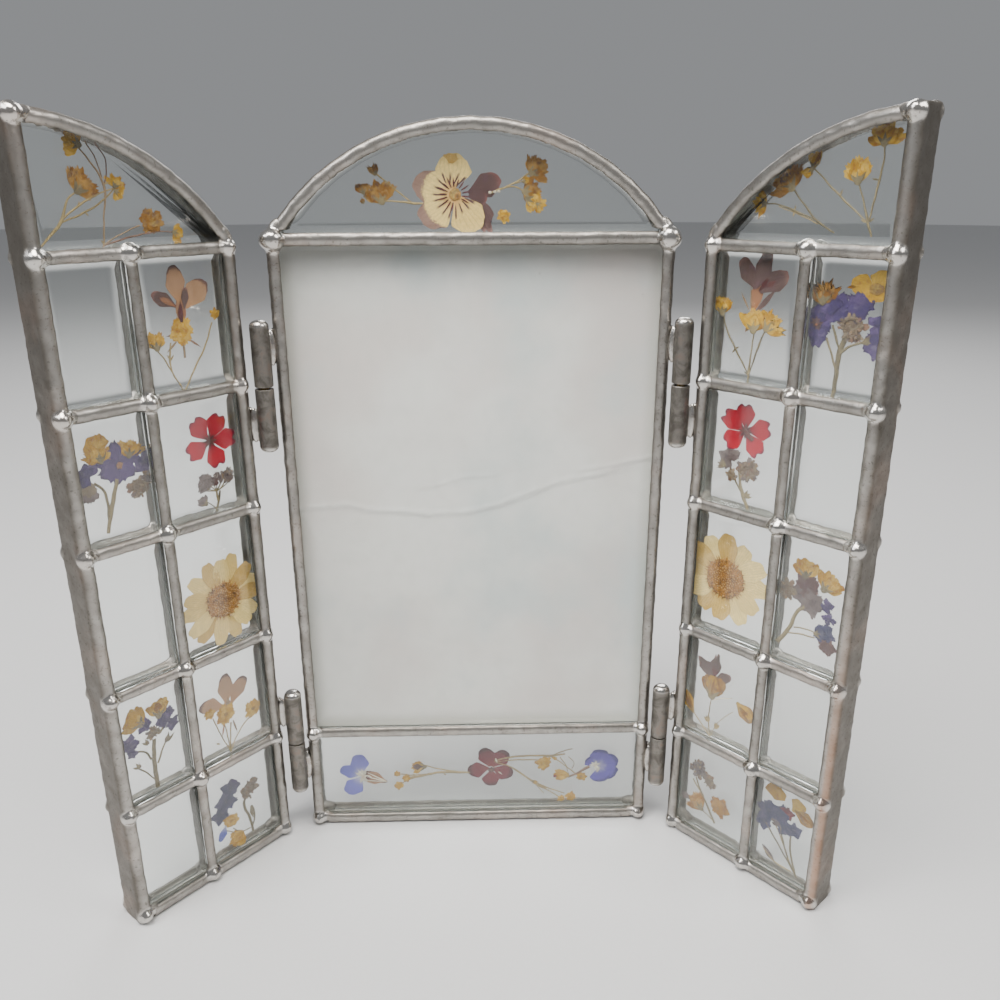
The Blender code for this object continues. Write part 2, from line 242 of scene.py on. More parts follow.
def bake_place(item):
    """Put an object's place and turn into its mesh."""
    bpy.context.view_layer.update()
    item.data.transform(item.matrix_world)
    item.matrix_world = Matrix.Identity(4)


def copy_of(item, matrix=None, name="copy"):
    """A copy with its own mesh."""
    copied = bpy.data.objects.new(name, item.data.copy())
    bpy.context.collection.objects.link(copied)
    if matrix is not None:
        copied.data.transform(matrix)
    return copied


def coordinates(mesh):
    points = np.zeros(len(mesh.vertices) * 3, np.float32)
    mesh.vertices.foreach_get("co", points)
    return points.reshape(-1, 3)


def set_coordinates(mesh, points):
    mesh.vertices.foreach_set("co", np.asarray(points, np.float32).ravel())
    mesh.update()


def set_attribute(mesh, name, values):
    attribute = mesh.attributes.get(name) or mesh.attributes.new(name, "FLOAT", "POINT")
    attribute.data.foreach_set("value", np.asarray(values, np.float32))


def ramp_up(values, low, high):
    share = np.clip((values - low) / (high - low), 0.0, 1.0)
    return share * share * (3.0 - 2.0 * share)


def turn_in_pane(degrees):
    """Turn a flat shape clockwise, as seen from the leaf's front."""
    return Matrix.Rotation(math.radians(degrees), 4, "Y")


class LeafSpace:
    """A leaf's own flat space, and the body that its pieces ride on."""

    def __init__(self, body, matrix):
        self.body = body
        self.matrix = matrix


def door_spaces():
    """Each door's pane space and hinge-axis space, read from the frame's joints and panes."""
    found = {}
    for joint in frame["joints"]:
        side_name = joint["name"].split("_")[0]
        pane = frame["nodes"][side_name + "_pane_3_inner"]
        face = max(pane.data.polygons, key=lambda polygon: polygon.area)
        normal = face.normal if face.normal.y < 0.0 else -face.normal
        turn = math.atan2(normal.x, -normal.y)
        axis = Vector(joint["pos_m"])
        swing = Matrix.Translation(axis) @ Matrix.Rotation(turn, 4, "Z")
        pane_space = swing @ Matrix.Translation((0.0, -axis.y, 0.0))
        found[side_name + "_door"] = LeafSpace(joint["child"], pane_space)
        found[side_name + "_door_axis"] = LeafSpace(joint["child"], swing)
        found[side_name + "_fixed_axis"] = LeafSpace(joint["parent"], Matrix.Translation(axis))
    return found


spaces = door_spaces()
spaces["center"] = LeafSpace("center_leaf", Matrix.Identity(4))


def lay_copy(node_name, name, space):
    """A merged copy of a CAD node, laid flat in its leaf's own space."""
    item = copy_of(frame["nodes"][node_name], space.matrix.inverted(), name)
    item.data.materials.clear()
    select_only(item)
    bpy.ops.mesh.customdata_custom_splitnormals_clear()
    bpy.ops.object.mode_set(mode="EDIT")
    bpy.ops.mesh.select_all(action="SELECT")
    bpy.ops.mesh.remove_doubles(threshold=0.01 * MM)
    bpy.ops.mesh.normals_make_consistent(inside=False)
    bpy.ops.object.mode_set(mode="OBJECT")
    return item


def settle(item, space, slot_name, *nodes):
    """Carry a finished piece from its leaf's space to its place, on its body."""
    item.data.transform(space.matrix)
    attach(item, space.body)
    if nodes:
        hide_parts(*nodes)
    return item


def clothe(item, *materials):
    item.data.materials.clear()
    for material in materials:
        item.data.materials.append(material)


# Materials


class Look:
    """A material being made; its patterns read the object's own coordinates."""

    def __init__(self, name):
        self.material = bpy.data.materials.new(name)
        self.material.use_nodes = True
        self.tree = self.material.node_tree
        self.shader = self.tree.nodes["Principled BSDF"]
        place = self.tree.nodes.new("ShaderNodeTexCoord")
        self.here = place.outputs["Object"]
        self.flat = place.outputs["UV"]

    def add(self, kind, **inputs):
        """A node of one kind, its inputs given by name as sockets or plain values."""
        made = self.tree.nodes.new("ShaderNode" + kind)
        for name, value in inputs.items():
            self.feed(made.inputs[name.replace("_", " ")], value)
        return made

    def feed(self, socket, value):
        if isinstance(value, bpy.types.NodeSocket):
            self.tree.links.new(value, socket)
        elif socket.type == "RGBA" and len(value) == 3:
            socket.default_value = (*value, 1.0)
        else:
            socket.default_value = value

    def set(self, **inputs):
        """Feed inputs of the shader."""
        for name, value in inputs.items():
            self.feed(self.shader.inputs[name.replace("_", " ")], value)
        return self.material

    def noise(self, scale, detail=4.0, roughness=0.55, distortion=0.0, place=None):
        return self.add("TexNoise", Scale=scale, Detail=detail, Roughness=roughness, Distortion=distortion,
                        Vector=place or self.here).outputs["Fac"]

    def stretched(self, along, place=(0.0, 0.0, 0.0)):
        """The object's coordinates, drawn out along its height and moved."""
        made = self.add("Mapping", Location=place, Scale=(1.0, 1.0, along), Vector=self.here)
        return made.outputs["Vector"]

    def ramp(self, value, low, high, to_low=0.0, to_high=1.0):
        made = self.add("MapRange", From_Min=low, From_Max=high, To_Min=to_low, To_Max=to_high, Value=value)
        made.interpolation_type = "SMOOTHSTEP"
        return made.outputs["Result"]

    def calculate(self, operation, first, second):
        made = self.tree.nodes.new("ShaderNodeMath")
        made.operation = operation
        for socket, value in zip(made.inputs, (first, second)):
            self.feed(socket, value)
        return made.outputs["Value"]

    def plus(self, first, second):
        return self.calculate("ADD", first, second)

    def times(self, first, second):
        return self.calculate("MULTIPLY", first, second)

    def blend(self, factor, first, second):
        """Mix two colours, each a socket or three numbers."""
        made = self.tree.nodes.new("ShaderNodeMix")
        made.data_type = "RGBA"
        for name, value in (("Factor", factor), ("A", first), ("B", second)):
            self.feed(made.inputs[name], value)
        return made.outputs["Result"]

    def attribute(self, name):
        made = self.tree.nodes.new("ShaderNodeAttribute")
        made.attribute_name = name
        return made.outputs["Fac"]

    def bump(self, height, distance, strength):
        made = self.add("Bump", Distance=distance, Strength=strength, Height=height)
        self.set(Normal=made.outputs["Normal"])


def darker(colour, share):
    return tuple(value * share for value in colour)


def solder_material():
    """Flowed solder: silver on crowns and drops, brown tarnish in walls and hollows."""
    finish = settings().metal
    look = Look("flowed_solder")
    shine = look.attribute("shine")
    copper = look.attribute("copper")
    patches = look.noise(260.0, 5.0, 0.6)
    specks = look.noise(1500.0, 4.0, 0.6)
    clouds = look.noise(70.0, 3.0, 0.5)
    wear = look.plus(look.times(patches, 0.55), shine)
    wear = look.plus(wear, look.times(clouds, 0.25))
    colour = look.blend(look.ramp(wear, 0.28, 1.3), finish.tarnish, finish.bright)
    dirt = look.ramp(specks, 0.56, 0.7, 0.0, 0.5)
    colour = look.blend(dirt, colour, darker(finish.tarnish, 0.55))
    reddish = look.plus(look.times(look.ramp(clouds, 0.5, 0.72), 0.1), copper)
    colour = look.blend(reddish, colour, finish.warm)
    dull = look.plus(look.ramp(wear, 0.3, 1.35, 0.5, 0.2), look.times(dirt, 0.3))
    look.bump(look.plus(patches, look.times(specks, 0.35)), 0.12 * MM, 0.55)
    return look.set(Base_Color=colour, Metallic=1.0, Roughness=dull)


def tube_material():
    """Hinge tube: worn tin with dull brown patches and fine scratches along it."""
    finish = settings().metal
    look = Look("tinned_tube")
    scratches = look.noise(2600.0, 3.0, 0.5, place=look.stretched(0.12))
    patches = look.noise(320.0, 6.0, 0.65, 0.6)
    wear = look.plus(look.times(patches, 0.9), look.attribute("shine"))
    colour = look.blend(look.ramp(wear, 0.2, 1.15), darker(finish.tarnish, 0.8), finish.bright)
    colour = look.blend(look.ramp(patches, 0.52, 0.7, 0.0, 0.5), colour, darker(finish.warm, 0.35))
    colour = look.blend(look.ramp(scratches, 0.55, 0.75, 0.0, 0.4), colour, finish.tarnish)
    look.bump(look.plus(patches, scratches), 0.06 * MM, 0.5)
    return look.set(Base_Color=colour, Metallic=1.0, Roughness=look.ramp(wear, 0.3, 1.1, 0.5, 0.22))


def pin_material():
    """Drawn brass wire, darkened in scattered stains."""
    look = Look("drawn_wire")
    drawn = look.noise(4000.0, 3.0, place=look.stretched(0.05))
    stain = look.noise(500.0)
    colour = look.blend(look.ramp(drawn, 0.35, 0.7), (0.5, 0.34, 0.13), (0.66, 0.5, 0.25))
    colour = look.blend(look.ramp(stain, 0.5, 0.7, 0.0, 0.7), colour, (0.16, 0.1, 0.06))
    look.bump(drawn, 0.03 * MM, 0.4)
    return look.set(Base_Color=colour, Metallic=1.0, Roughness=look.ramp(drawn, 0.3, 0.7, 0.25, 0.42))


def glass_material(name):
    """Clear sheet that lets lamps through, with dust dried along its edges."""
    finish = settings().glass
    look = Look(name)
    smears = look.noise(120.0, 4.0, 0.6, 1.2)
    look.set(Base_Color=finish.tint, Transmission_Weight=1.0, IOR=1.5,
             Roughness=look.ramp(smears, 0.35, 0.8, 0.0, 0.05))
    grit = look.noise(2400.0, 5.0, 0.7)
    smeared = look.plus(look.times(smears, 0.4), look.attribute("edge"))
    film = look.ramp(smeared, 0.25, 1.4, 0.006, 0.1)
    film = look.times(film, look.ramp(grit, 0.3, 0.7, 0.5, 1.0))
    surface = look.shader.outputs["BSDF"]
    dust = look.add("BsdfDiffuse", Color=finish.dust)
    clear = look.add("BsdfTransparent", Color=finish.tint)
    light_path = look.tree.nodes.new("ShaderNodeLightPath")
    for share, other in ((film, dust), (light_path.outputs["Is Shadow Ray"], clear)):
        mixed = look.tree.nodes.new("ShaderNodeMixShader")
        for socket, value in zip(mixed.inputs, (share, surface, other.outputs["BSDF"])):
            look.feed(socket, value)
        surface = mixed.outputs["Shader"]
    look.feed(look.tree.nodes["Material Output"].inputs["Surface"], surface)
    return look.material


def paper_material():
    """Aged blank paper: soft warm and cool patches, fibres, a few specks, and edges with stains and painted
    shade.
    """
    finish = settings().paper
    look = Look("aged_paper")
    broad = look.noise(17.0, 3.0, 0.5)
    other = look.noise(23.0, place=look.stretched(1.0, (0.31, 0.0, 0.17)))
    fibre = look.noise(2600.0, 4.0, 0.7)
    flecks = look.noise(820.0, 2.0, 0.4)
    mottle = look.noise(260.0, 5.0, 0.65)
    colour = look.blend(look.ramp(broad, 0.45, 0.62), finish.ground, finish.blush)
    colour = look.blend(look.ramp(other, 0.48, 0.68), colour, finish.damp)
    colour = look.blend(look.ramp(mottle, 0.4, 0.75, 0.0, 0.22), colour, (0.47, 0.47, 0.44))
    colour = look.blend(look.ramp(fibre, 0.5, 0.8, 0.0, 0.3), colour, (0.7, 0.7, 0.68))
    colour = look.blend(look.ramp(flecks, 0.76, 0.8, 0.0, 0.6), colour, (0.2, 0.16, 0.12))
    # Darker towards the sheet's outline: partly stains, partly painted shade from the cames and rails round
    # it.
    colour = look.blend(look.times(look.attribute("edge"), 0.55), colour, (0.36, 0.35, 0.3))
    colour = look.blend(look.times(look.attribute("fold"), 0.5), colour, (0.78, 0.78, 0.76))
    look.bump(look.plus(fibre, mottle), 0.05 * MM, 0.5)
    return look.set(Base_Color=colour, Roughness=0.86)


def board_material():
    """Backing board: pressed grey-brown fibres with a soft water mark."""
    board = settings().paper.board
    look = Look("fibre_board")
    fibres = look.noise(2200.0, 6.0, 0.7, 0.8, look.stretched(0.25))
    blotches = look.noise(45.0, 5.0, 0.6)
    chips = look.noise(700.0, 2.0, 0.5)
    colour = look.blend(look.ramp(fibres, 0.3, 0.7), darker(board, 0.75), darker(board, 1.35))
    colour = look.blend(look.ramp(blotches, 0.45, 0.7, 0.0, 0.5), colour, darker(board, 0.6))
    colour = look.blend(look.ramp(chips, 0.68, 0.76, 0.0, 0.6), colour, (0.42, 0.36, 0.28))
    look.bump(fibres, 0.08 * MM, 0.6)
    return look.set(Base_Color=colour, Roughness=0.92)


def floor_material():
    """Plain floor with the faintest grain."""
    floor = settings().light.floor
    look = Look("studio_floor")
    colour = look.blend(look.ramp(look.noise(900.0, 3.0), 0.3, 0.7), darker(floor, 0.985), floor)
    return look.set(Base_Color=colour, Roughness=0.75)


def petal_material(name, colour, root=None, rim=None, blotch=None, veins=0.35, rim_start=0.86, mottle=0.35,
                   stroke=None, stroke_end=0.5, blotch_start=0.56):
    """Dry petal: a shade from root to tip, fine veins that fan out along it, browned patches and rim."""
    look = Look(name)
    flat = look.add("SeparateXYZ", Vector=look.flat)
    across = flat.outputs["X"]
    along = flat.outputs["Y"]
    tint = look.attribute("tint")
    fine = look.noise(2300.0, 5.0, 0.65)
    spots = look.noise(750.0, 4.0, 0.6)

    def stripes(**inputs):
        made = look.add("TexWave", Vector=look.flat, **inputs)
        made.wave_type = "BANDS"
        made.bands_direction = "X"
        return made.outputs["Fac"]

    ragged = look.plus(along, look.times(fine, 0.3))
    shaded = look.blend(look.ramp(ragged, 0.1, 0.65), root or darker(colour, 0.7), colour)
    vein = look.ramp(stripes(Scale=2.6, Distortion=2.2, Detail=2.0), 0.35, 0.0)
    shaded = look.blend(look.times(vein, veins), shaded, darker(colour, 0.45))
    shaded = look.blend(look.ramp(fine, 0.35, 0.75, 0.0, mottle), shaded, darker(colour, 0.55))
    pale = tuple(min(1.0, value * 1.35) for value in colour)
    shaded = look.blend(look.ramp(spots, 0.5, 0.3, 0.0, mottle), shaded, pale)
    if blotch is not None:
        shaded = look.blend(look.ramp(spots, blotch_start, blotch_start + 0.1, 0.0, 0.85), shaded, blotch)
    if rim is not None:
        side = look.times(look.calculate("ABSOLUTE", look.calculate("SUBTRACT", across, 0.5), 0.0), 2.0)
        outward = look.calculate("MAXIMUM", look.times(side, along), along)
        outward = look.plus(outward, look.times(fine, 0.22))
        shaded = look.blend(look.ramp(outward, rim_start, rim_start + 0.12), shaded, rim)
    if stroke is not None:
        rays = look.ramp(stripes(Scale=1.15, Distortion=0.7), 0.72, 0.92)
        reach = look.plus(along, look.times(spots, 0.25))
        inner = look.ramp(reach, stroke_end + 0.1, stroke_end - 0.02)
        drawn = look.times(look.times(rays, inner), look.ramp(along, 0.16, 0.24))
        shaded = look.blend(drawn, shaded, stroke)
    varied = look.add(
        "HueSaturation", Color=shaded, Value=look.ramp(tint, 0.0, 1.0, 0.78, 1.16),
        Saturation=look.ramp(tint, 1.0, 0.0, 0.92, 1.08), Hue=look.ramp(tint, 0.0, 1.0, 0.492, 0.508))
    look.bump(look.calculate("SUBTRACT", fine, look.times(vein, 0.6)), 0.05 * MM, 0.7)
    return look.set(Base_Color=varied.outputs["Color"], Roughness=0.72, Sheen_Weight=0.05,
                    Specular_IOR_Level=0.2)


def stem_material(name, colour):
    """Dry stem: streaks along it and darker patches."""
    look = Look(name)
    streaks = look.noise(1800.0, 5.0, 0.6, 0.5)
    patches = look.noise(260.0, 3.0)
    shaded = look.blend(look.ramp(streaks, 0.35, 0.7), darker(colour, 0.65), darker(colour, 1.25))
    shaded = look.blend(look.ramp(patches, 0.5, 0.7, 0.0, 0.6), shaded, darker(colour, 0.5))
    shaded = look.blend(look.ramp(look.attribute("tint"), 0.0, 1.0, 0.0, 0.4), shaded, (0.34, 0.26, 0.12))
    look.bump(streaks, 0.04 * MM, 0.6)
    return look.set(Base_Color=shaded, Roughness=0.75)


# Petal patterns, each modelled once and pressed many times. A pattern is one unit long and half a unit
# to each side, and its thickness is real.


def petal_pattern(name, variant, rows, columns, neck, widest, tip, round_off, notch, ragged, wrinkle):
    """A flat petal with its root at the origin and its tip up, with a thin closed wall."""
    deselect_all()
    bpy.ops.mesh.primitive_grid_add(x_subdivisions=columns, y_subdivisions=rows, size=1.0, calc_uvs=True)
    item = bpy.context.object
    item.name = name
    for vertex in item.data.vertices:
        across = 2.0 * vertex.co.x
        along = vertex.co.y + 0.5
        if along < widest:
            spread = neck + (1.0 - neck) * math.sin(0.5 * math.pi * along / widest) ** 1.3
        else:
            spread = tip + (1.0 - tip) * math.cos(0.5 * math.pi * (along - widest) / (1.0 - widest))
        fray = noise.noise(Vector((across * 2.3 + 9.1 * variant, along * 2.6, 4.7)))
        fringe = noise.noise(Vector((across * 6.0, along * 7.0 + 5.3 * variant, 1.9)))
        height = along - round_off * (1.0 - math.sqrt(max(0.0, 1.0 - across * across))) * along * along
        height -= notch * math.exp(-(across / 0.32) ** 2) * along ** 6
        height += ragged * (fray + 0.6 * fringe) * along
        width = 0.5 * across * spread * (1.0 + ragged * (2.0 * fray + fringe))
        fold = noise.noise(Vector((across * 1.7, along * 2.1, 3.3 + 7.7 * variant)))
        crimp = noise.noise(Vector((across * 4.5, along * 4.0, 8.1 + 3.1 * variant)))
        vertex.co = (width, wrinkle * MM * (1.6 * fold + crimp), height)
    wall = item.modifiers.new("Wall", "SOLIDIFY")
    wall.thickness = 0.05 * MM
    wall.offset = 0.0
    wall.use_even_offset = False
    apply_modifiers(item)
    bpy.ops.object.shade_smooth_by_angle(angle=math.radians(35.0))
    return item


def floret_pattern():
    """A tiny pointed floret of a daisy's disc, with few faces because it is repeated so often."""
    deselect_all()
    bpy.ops.mesh.primitive_cone_add(vertices=5, radius1=0.5, radius2=0.22, depth=1.0, end_fill_type="NGON")
    item = bpy.context.object
    item.name = "floret"
    bpy.ops.object.mode_set(mode="EDIT")
    bpy.ops.mesh.select_all(action="SELECT")
    bpy.ops.mesh.subdivide(number_cuts=1, fractal=0.6, seed=3)
    bpy.ops.object.mode_set(mode="OBJECT")
    bpy.ops.object.shade_smooth()
    item.data.transform(Matrix.Rotation(math.radians(90.0), 4, "X"))
    return item


def mound_pattern():
    """The low bumpy mound under a daisy's disc, or the eye of a small flower."""
    deselect_all()
    bpy.ops.mesh.primitive_uv_sphere_add(segments=28, ring_count=14, radius=0.5)
    item = bpy.context.object
    item.name = "mound"
    bpy.ops.object.mode_set(mode="EDIT")
    bpy.ops.mesh.select_all(action="SELECT")
    bpy.ops.transform.rotate(value=math.radians(90.0), orient_axis="X", center_override=(0.0, 0.0, 0.0))
    bpy.ops.object.mode_set(mode="OBJECT")
    for vertex in item.data.vertices:
        rough = noise.noise(vertex.co * 9.0) + 0.6 * noise.noise(vertex.co * 21.0)
        vertex.co *= 1.0 + 0.13 * rough
    bpy.ops.object.shade_smooth()
    return item


def bristle_bud_pattern():
    """A small hairy bud."""
    deselect_all()
    bpy.ops.mesh.primitive_ico_sphere_add(subdivisions=2, radius=0.36)
    bud = bpy.context.object
    for vertex in bud.data.vertices:
        vertex.co *= 1.0 + 0.3 * noise.noise(vertex.co * 7.0)
    hairs = [bud]
    chance = random.Random(5)
    deselect_all()
    bpy.ops.mesh.primitive_cone_add(vertices=3, radius1=0.03, radius2=0.006, depth=0.36, end_fill_type="NGON")
    hair = bpy.context.object
    hair.data.transform(Matrix.Translation((0.0, 0.0, 0.46)))
    for step in range(9):
        turn = turn_in_pane(step * 40.0 + chance.uniform(-14.0, 14.0))
        lean = Matrix.Rotation(math.radians(chance.uniform(-50.0, 50.0)), 4, "X")
        hairs.append(copy_of(hair, turn @ lean @ Matrix.Scale(chance.uniform(0.8, 1.25), 4)))
    bpy.data.objects.remove(hair)
    item = join_all(hairs, "bristle_bud")
    bpy.ops.object.shade_smooth()
    return item


class Patterns:
    """The petals and buds that every flower is pressed from."""

    def __init__(self):
        shapes = {
            "round": (2, 8, 10, 0.15, 0.74, 0.9, 0.36, 0.0, 0.03, 0.04),
            "heart": (2, 10, 12, 0.13, 0.8, 0.92, 0.32, 0.15, 0.04, 0.04),
            "long": (3, 9, 8, 0.42, 0.7, 0.88, 0.24, 0.04, 0.03, 0.035),
            "pointed": (2, 4, 3, 0.35, 0.45, 0.12, 0.15, 0.0, 0.07, 0.05),
            "frilled": (3, 5, 5, 0.25, 0.72, 0.8, 0.22, 0.1, 0.16, 0.05),
            "crumpled": (3, 8, 8, 0.22, 0.6, 0.66, 0.26, 0.0, 0.2, 0.07),
            "fan": (2, 10, 12, 0.14, 0.78, 0.92, 0.36, 0.02, 0.05, 0.05),
            "blade": (2, 6, 3, 0.5, 0.4, 0.2, 0.1, 0.0, 0.06, 0.04),
        }
        self.kinds = {kind: [petal_pattern(kind, n, *shape) for n in range(count)]
                      for kind, (count, *shape) in shapes.items()}
        self.floret = floret_pattern()
        self.mound = mound_pattern()
        self.bud = bristle_bud_pattern()

    def clear(self):
        every = [item for kind in self.kinds.values() for item in kind]
        for item in every + [self.floret, self.mound, self.bud]:
            bpy.data.objects.remove(item)


def mix_palette():
    """The dry looks that petals and stems take, by name."""
    tone = settings().flowers
    brown = (0.14, 0.07, 0.03)
    return {
        "cream": petal_material("cream_petal", tone.cream, root=(0.55, 0.33, 0.07),
            blotch=(0.6, 0.42, 0.14), veins=0.3),
        "viola": petal_material("viola_petal", tone.cream, root=(0.55, 0.24, 0.06), veins=0.25, mottle=0.45,
            stroke=(0.07, 0.03, 0.035), stroke_end=0.55),
        "viola_edged": petal_material("viola_edged_petal", tone.cream, root=(0.62, 0.3, 0.08),
            rim=(0.2, 0.11, 0.085), rim_start=0.78, veins=0.25, mottle=0.45, stroke=(0.07, 0.03, 0.035),
            stroke_end=0.55),
        "red": petal_material("red_petal", tone.red, root=(0.2, 0.01, 0.02), rim=(0.2, 0.012, 0.035),
            rim_start=0.93, veins=0.2, mottle=0.18),
        "ochre": petal_material("ochre_petal", tone.ochre, root=(0.3, 0.2, 0.04), blotch=brown, veins=0.3,
            mottle=0.6, blotch_start=0.53),
        "golden": petal_material("golden_petal", tone.golden, root=(0.36, 0.22, 0.02),
            blotch=(0.3, 0.12, 0.015), veins=0.3, mottle=0.5),
        "tan": petal_material("tan_petal", tone.tan, root=(0.36, 0.15, 0.05), rim=(0.1, 0.045, 0.04),
            rim_start=0.95, veins=0.25, mottle=0.2),
        "violet": petal_material("violet_petal", tone.violet, root=(0.06, 0.04, 0.1),
            rim=(0.04, 0.025, 0.07), blotch=(0.11, 0.085, 0.16), veins=0.45, mottle=0.6),
        "indigo": petal_material("indigo_petal", (0.038, 0.036, 0.1), root=(0.02, 0.018, 0.045),
            blotch=(0.1, 0.09, 0.15), veins=0.5, mottle=0.6),
        "blue": petal_material("blue_petal", tone.blue, root=(0.5, 0.5, 0.55), rim=(0.09, 0.1, 0.4),
            veins=0.4, rim_start=0.9, mottle=0.2),
        "deep_blue": petal_material("deep_blue_petal", (0.07, 0.05, 0.36), root=(0.4, 0.38, 0.5),
            rim=(0.03, 0.02, 0.16), veins=0.3),
        "wine": petal_material("wine_petal", tone.wine, root=(0.2, 0.03, 0.03), rim=(0.05, 0.004, 0.01),
            rim_start=0.84, veins=0.3),
        "mauve": petal_material("mauve_petal", tone.mauve, root=(0.1, 0.05, 0.05), rim=(0.17, 0.075, 0.065),
            rim_start=0.93, blotch=(0.1, 0.045, 0.06), veins=0.3),
        "white": petal_material("white_eye", (0.72, 0.68, 0.56), root=(0.6, 0.5, 0.35), veins=0.1),
        "fuzz": petal_material("fuzzy_bud", tone.fuzz, root=darker(tone.fuzz, 0.7),
            blotch=(0.1, 0.07, 0.05), veins=0.0),
        "grey_fuzz": petal_material("grey_bud", (0.14, 0.105, 0.1), root=(0.08, 0.055, 0.05),
            blotch=(0.05, 0.03, 0.035), veins=0.1),
        "disc": petal_material("daisy_disc", (0.4, 0.2, 0.045), root=(0.14, 0.07, 0.02),
            blotch=(0.1, 0.05, 0.02), veins=0.0),
        "dark": petal_material("dark_eye", (0.1, 0.02, 0.02), root=(0.05, 0.01, 0.01), veins=0.0),
        "straw": stem_material("straw_stem", tone.straw),
        "olive": stem_material("olive_stem", tone.olive),
        "brown": stem_material("brown_stem", (0.16, 0.075, 0.045)),
    }


def away_from(x, z, reach, lean):
    """The place that lies reach from x, z, at an angle in radians clockwise from straight up."""
    return x + reach * math.sin(lean), z + reach * math.cos(lean)


class Pressing:
    """Everything pressed in one pane, laid from the back of the gap towards its front, in millimetres."""

    def __init__(self, name, space, patterns, palette, seed):
        self.name = name
        self.space = space
        self.patterns = patterns
        self.palette = palette
        self.chance = random.Random(seed * 101 + settings().flowers.seed)
        self.vary = self.chance.uniform
        self.parts = []

    def each(self, lay, *rows):
        """Lay one thing for each row of its places and sizes."""
        for row in rows:
            lay(*row)

    def keep(self, item, material, tint=None):
        clothe(item, self.palette[material])
        value = self.chance.random() if tint is None else tint
        set_attribute(item.data, "tint", np.full(len(item.data.vertices), value))
        self.parts.append(item)

    def press(self, item, x, z, depth, turn, sizes, material, tint):
        """Scale, turn and move a shape to its place in the pane."""
        size = Matrix.Diagonal((*sizes, 1.0))
        place = Matrix.Translation((x * MM, depth * MM, z * MM))
        item.data.transform(place @ turn_in_pane(turn) @ size)
        self.keep(item, material, tint)

    def petal(self, kind, x, z, turn, length, width, material, depth=0.0, tint=None, bend=0.0):
        """One petal with its root at x, z and its tip turned clockwise from straight up."""
        item = copy_of(self.chance.choice(self.patterns.kinds[kind]))
        points = coordinates(item.data)
        if self.chance.random() < 0.5:
            points[:, 0] *= -1.0
            item.data.flip_normals()
        points[:, 0] += bend * points[:, 2] ** 2
        points[:, 0] += 0.02 * np.sin(7.0 * points[:, 2] + self.vary(0.0, 6.0))
        set_coordinates(item.data, points)
        self.press(item, x, z, depth, turn, (width * MM, 1.0, length * MM), material, tint)

    def blob(self, x, z, wide, high, material, depth=0.0, thick=0.3, turn=0.0, tint=None, pattern=None):
        """A flattened mound or bud."""
        item = copy_of(pattern or self.patterns.mound)
        self.press(item, x, z, depth, turn, (wide * MM, thick * MM, high * MM), material, tint)

    def stem(self, material, width, *points, depth=0.12):
        """A flattened stem through points; a third number scales its width there."""
        curve = bpy.data.curves.new("stem", "CURVE")
        curve.dimensions = "3D"
        curve.bevel_depth = 0.5 * width * MM
        curve.bevel_resolution = 1
        curve.use_fill_caps = True
        curve.resolution_u = 5
        spline = curve.splines.new("BEZIER")
        spline.bezier_points.add(len(points) - 1)
        for knot, point in zip(spline.bezier_points, points):
            knot.co = (point[0] * MM, 0.0, point[1] * MM)
            knot.handle_left_type = "AUTO"
            knot.handle_right_type = "AUTO"
            knot.radius = point[2] if len(point) > 2 else self.vary(0.85, 1.2)
        item = bpy.data.objects.new("stem", curve)
        bpy.context.collection.objects.link(item)
        select_only(item)
        bpy.ops.object.convert(target="MESH")
        item = bpy.context.object
        spots = coordinates(item.data)
        flat = min(1.0, STEM_THICKNESS / width)
        half = 0.5 * STEM_THICKNESS * MM
        spots[:, 1] = np.clip(spots[:, 1] * flat, -half, half)
        phase = self.vary(0.0, 6.0)
        spots[:, 0] += 0.05 * MM * np.sin(spots[:, 2] / MM * 1.9 + phase)
        spots[:, 2] += 0.05 * MM * np.sin(spots[:, 0] / MM * 1.7 + phase)
        spots[:, 1] += depth * MM
        set_coordinates(item.data, spots)
        bpy.ops.object.shade_smooth()
        self.keep(item, material)

    def cup(self, x, z, turn, size, material, count=8, spread=56.0, kind="frilled", green=True):
        """A small head seen from its side, its root at x, z: petals fanned out of a little green base."""
        for layer, share in ((0.08, 1.0), (-0.02, 0.84), (-0.1, 0.66)):
            for step in range(count):
                fan = turn + spread * (2.0 * step / (count - 1) - 1.0) * share + self.vary(-7.0, 7.0)
                length = size * share * self.vary(0.85, 1.12)
                self.petal(kind, x, z, fan, length, size * 0.42, material, layer + self.vary(-0.03, 0.03))
        if green:
            base = away_from(x, z, 0.1 * size, math.radians(turn))
            self.blob(*base, size * 0.36, size * 0.42, "olive", -0.12, 0.18, turn)
            for side in (-42.0, 0.0, 42.0):
                self.petal("blade", x, z, turn + side, size * 0.55, size * 0.16, "olive", -0.15)

    def rosette(self, x, z, size, material, count=9, turn=0.0, eye=None, depth=0.0, squash=1.0,
                kind="frilled"):
        """A small head seen from above: rings of ragged petals over each other."""
        for ring, share in enumerate((1.0, 0.76, 0.5)):
            for step in range(count):
                around = turn + 360.0 * (step + 0.5 * ring) / count + self.vary(-12.0, 12.0)
                length = 0.52 * size * share * self.vary(0.85, 1.15)
                length *= 1.0 - (1.0 - squash) * abs(math.cos(math.radians(around - turn)))
                layer = depth + 0.07 - 0.07 * ring + self.vary(-0.02, 0.02)
                self.petal(kind, x, z, around, length, size * 0.3, material, layer)
        self.blob(x, z, size * 0.24, size * 0.2, eye or material, depth - 0.1, 0.14)

    def tuft(self, x, z, size, material, count=16):
        """A ragged brown head: thin blades and frills pressed in all directions."""
        for step in range(count):
            around = 360.0 * step / count + self.vary(-16.0, 16.0)
            kind = self.chance.choice(("frilled", "pointed", "frilled", "crumpled"))
            length = 0.5 * size * self.vary(0.65, 1.1)
            self.petal(kind, x, z, around, length, size * 0.34, material, self.vary(-0.12, 0.14))
        self.blob(x, z - 0.05 * size, size * 0.4, size * 0.34, "ochre", -0.1, 0.16)

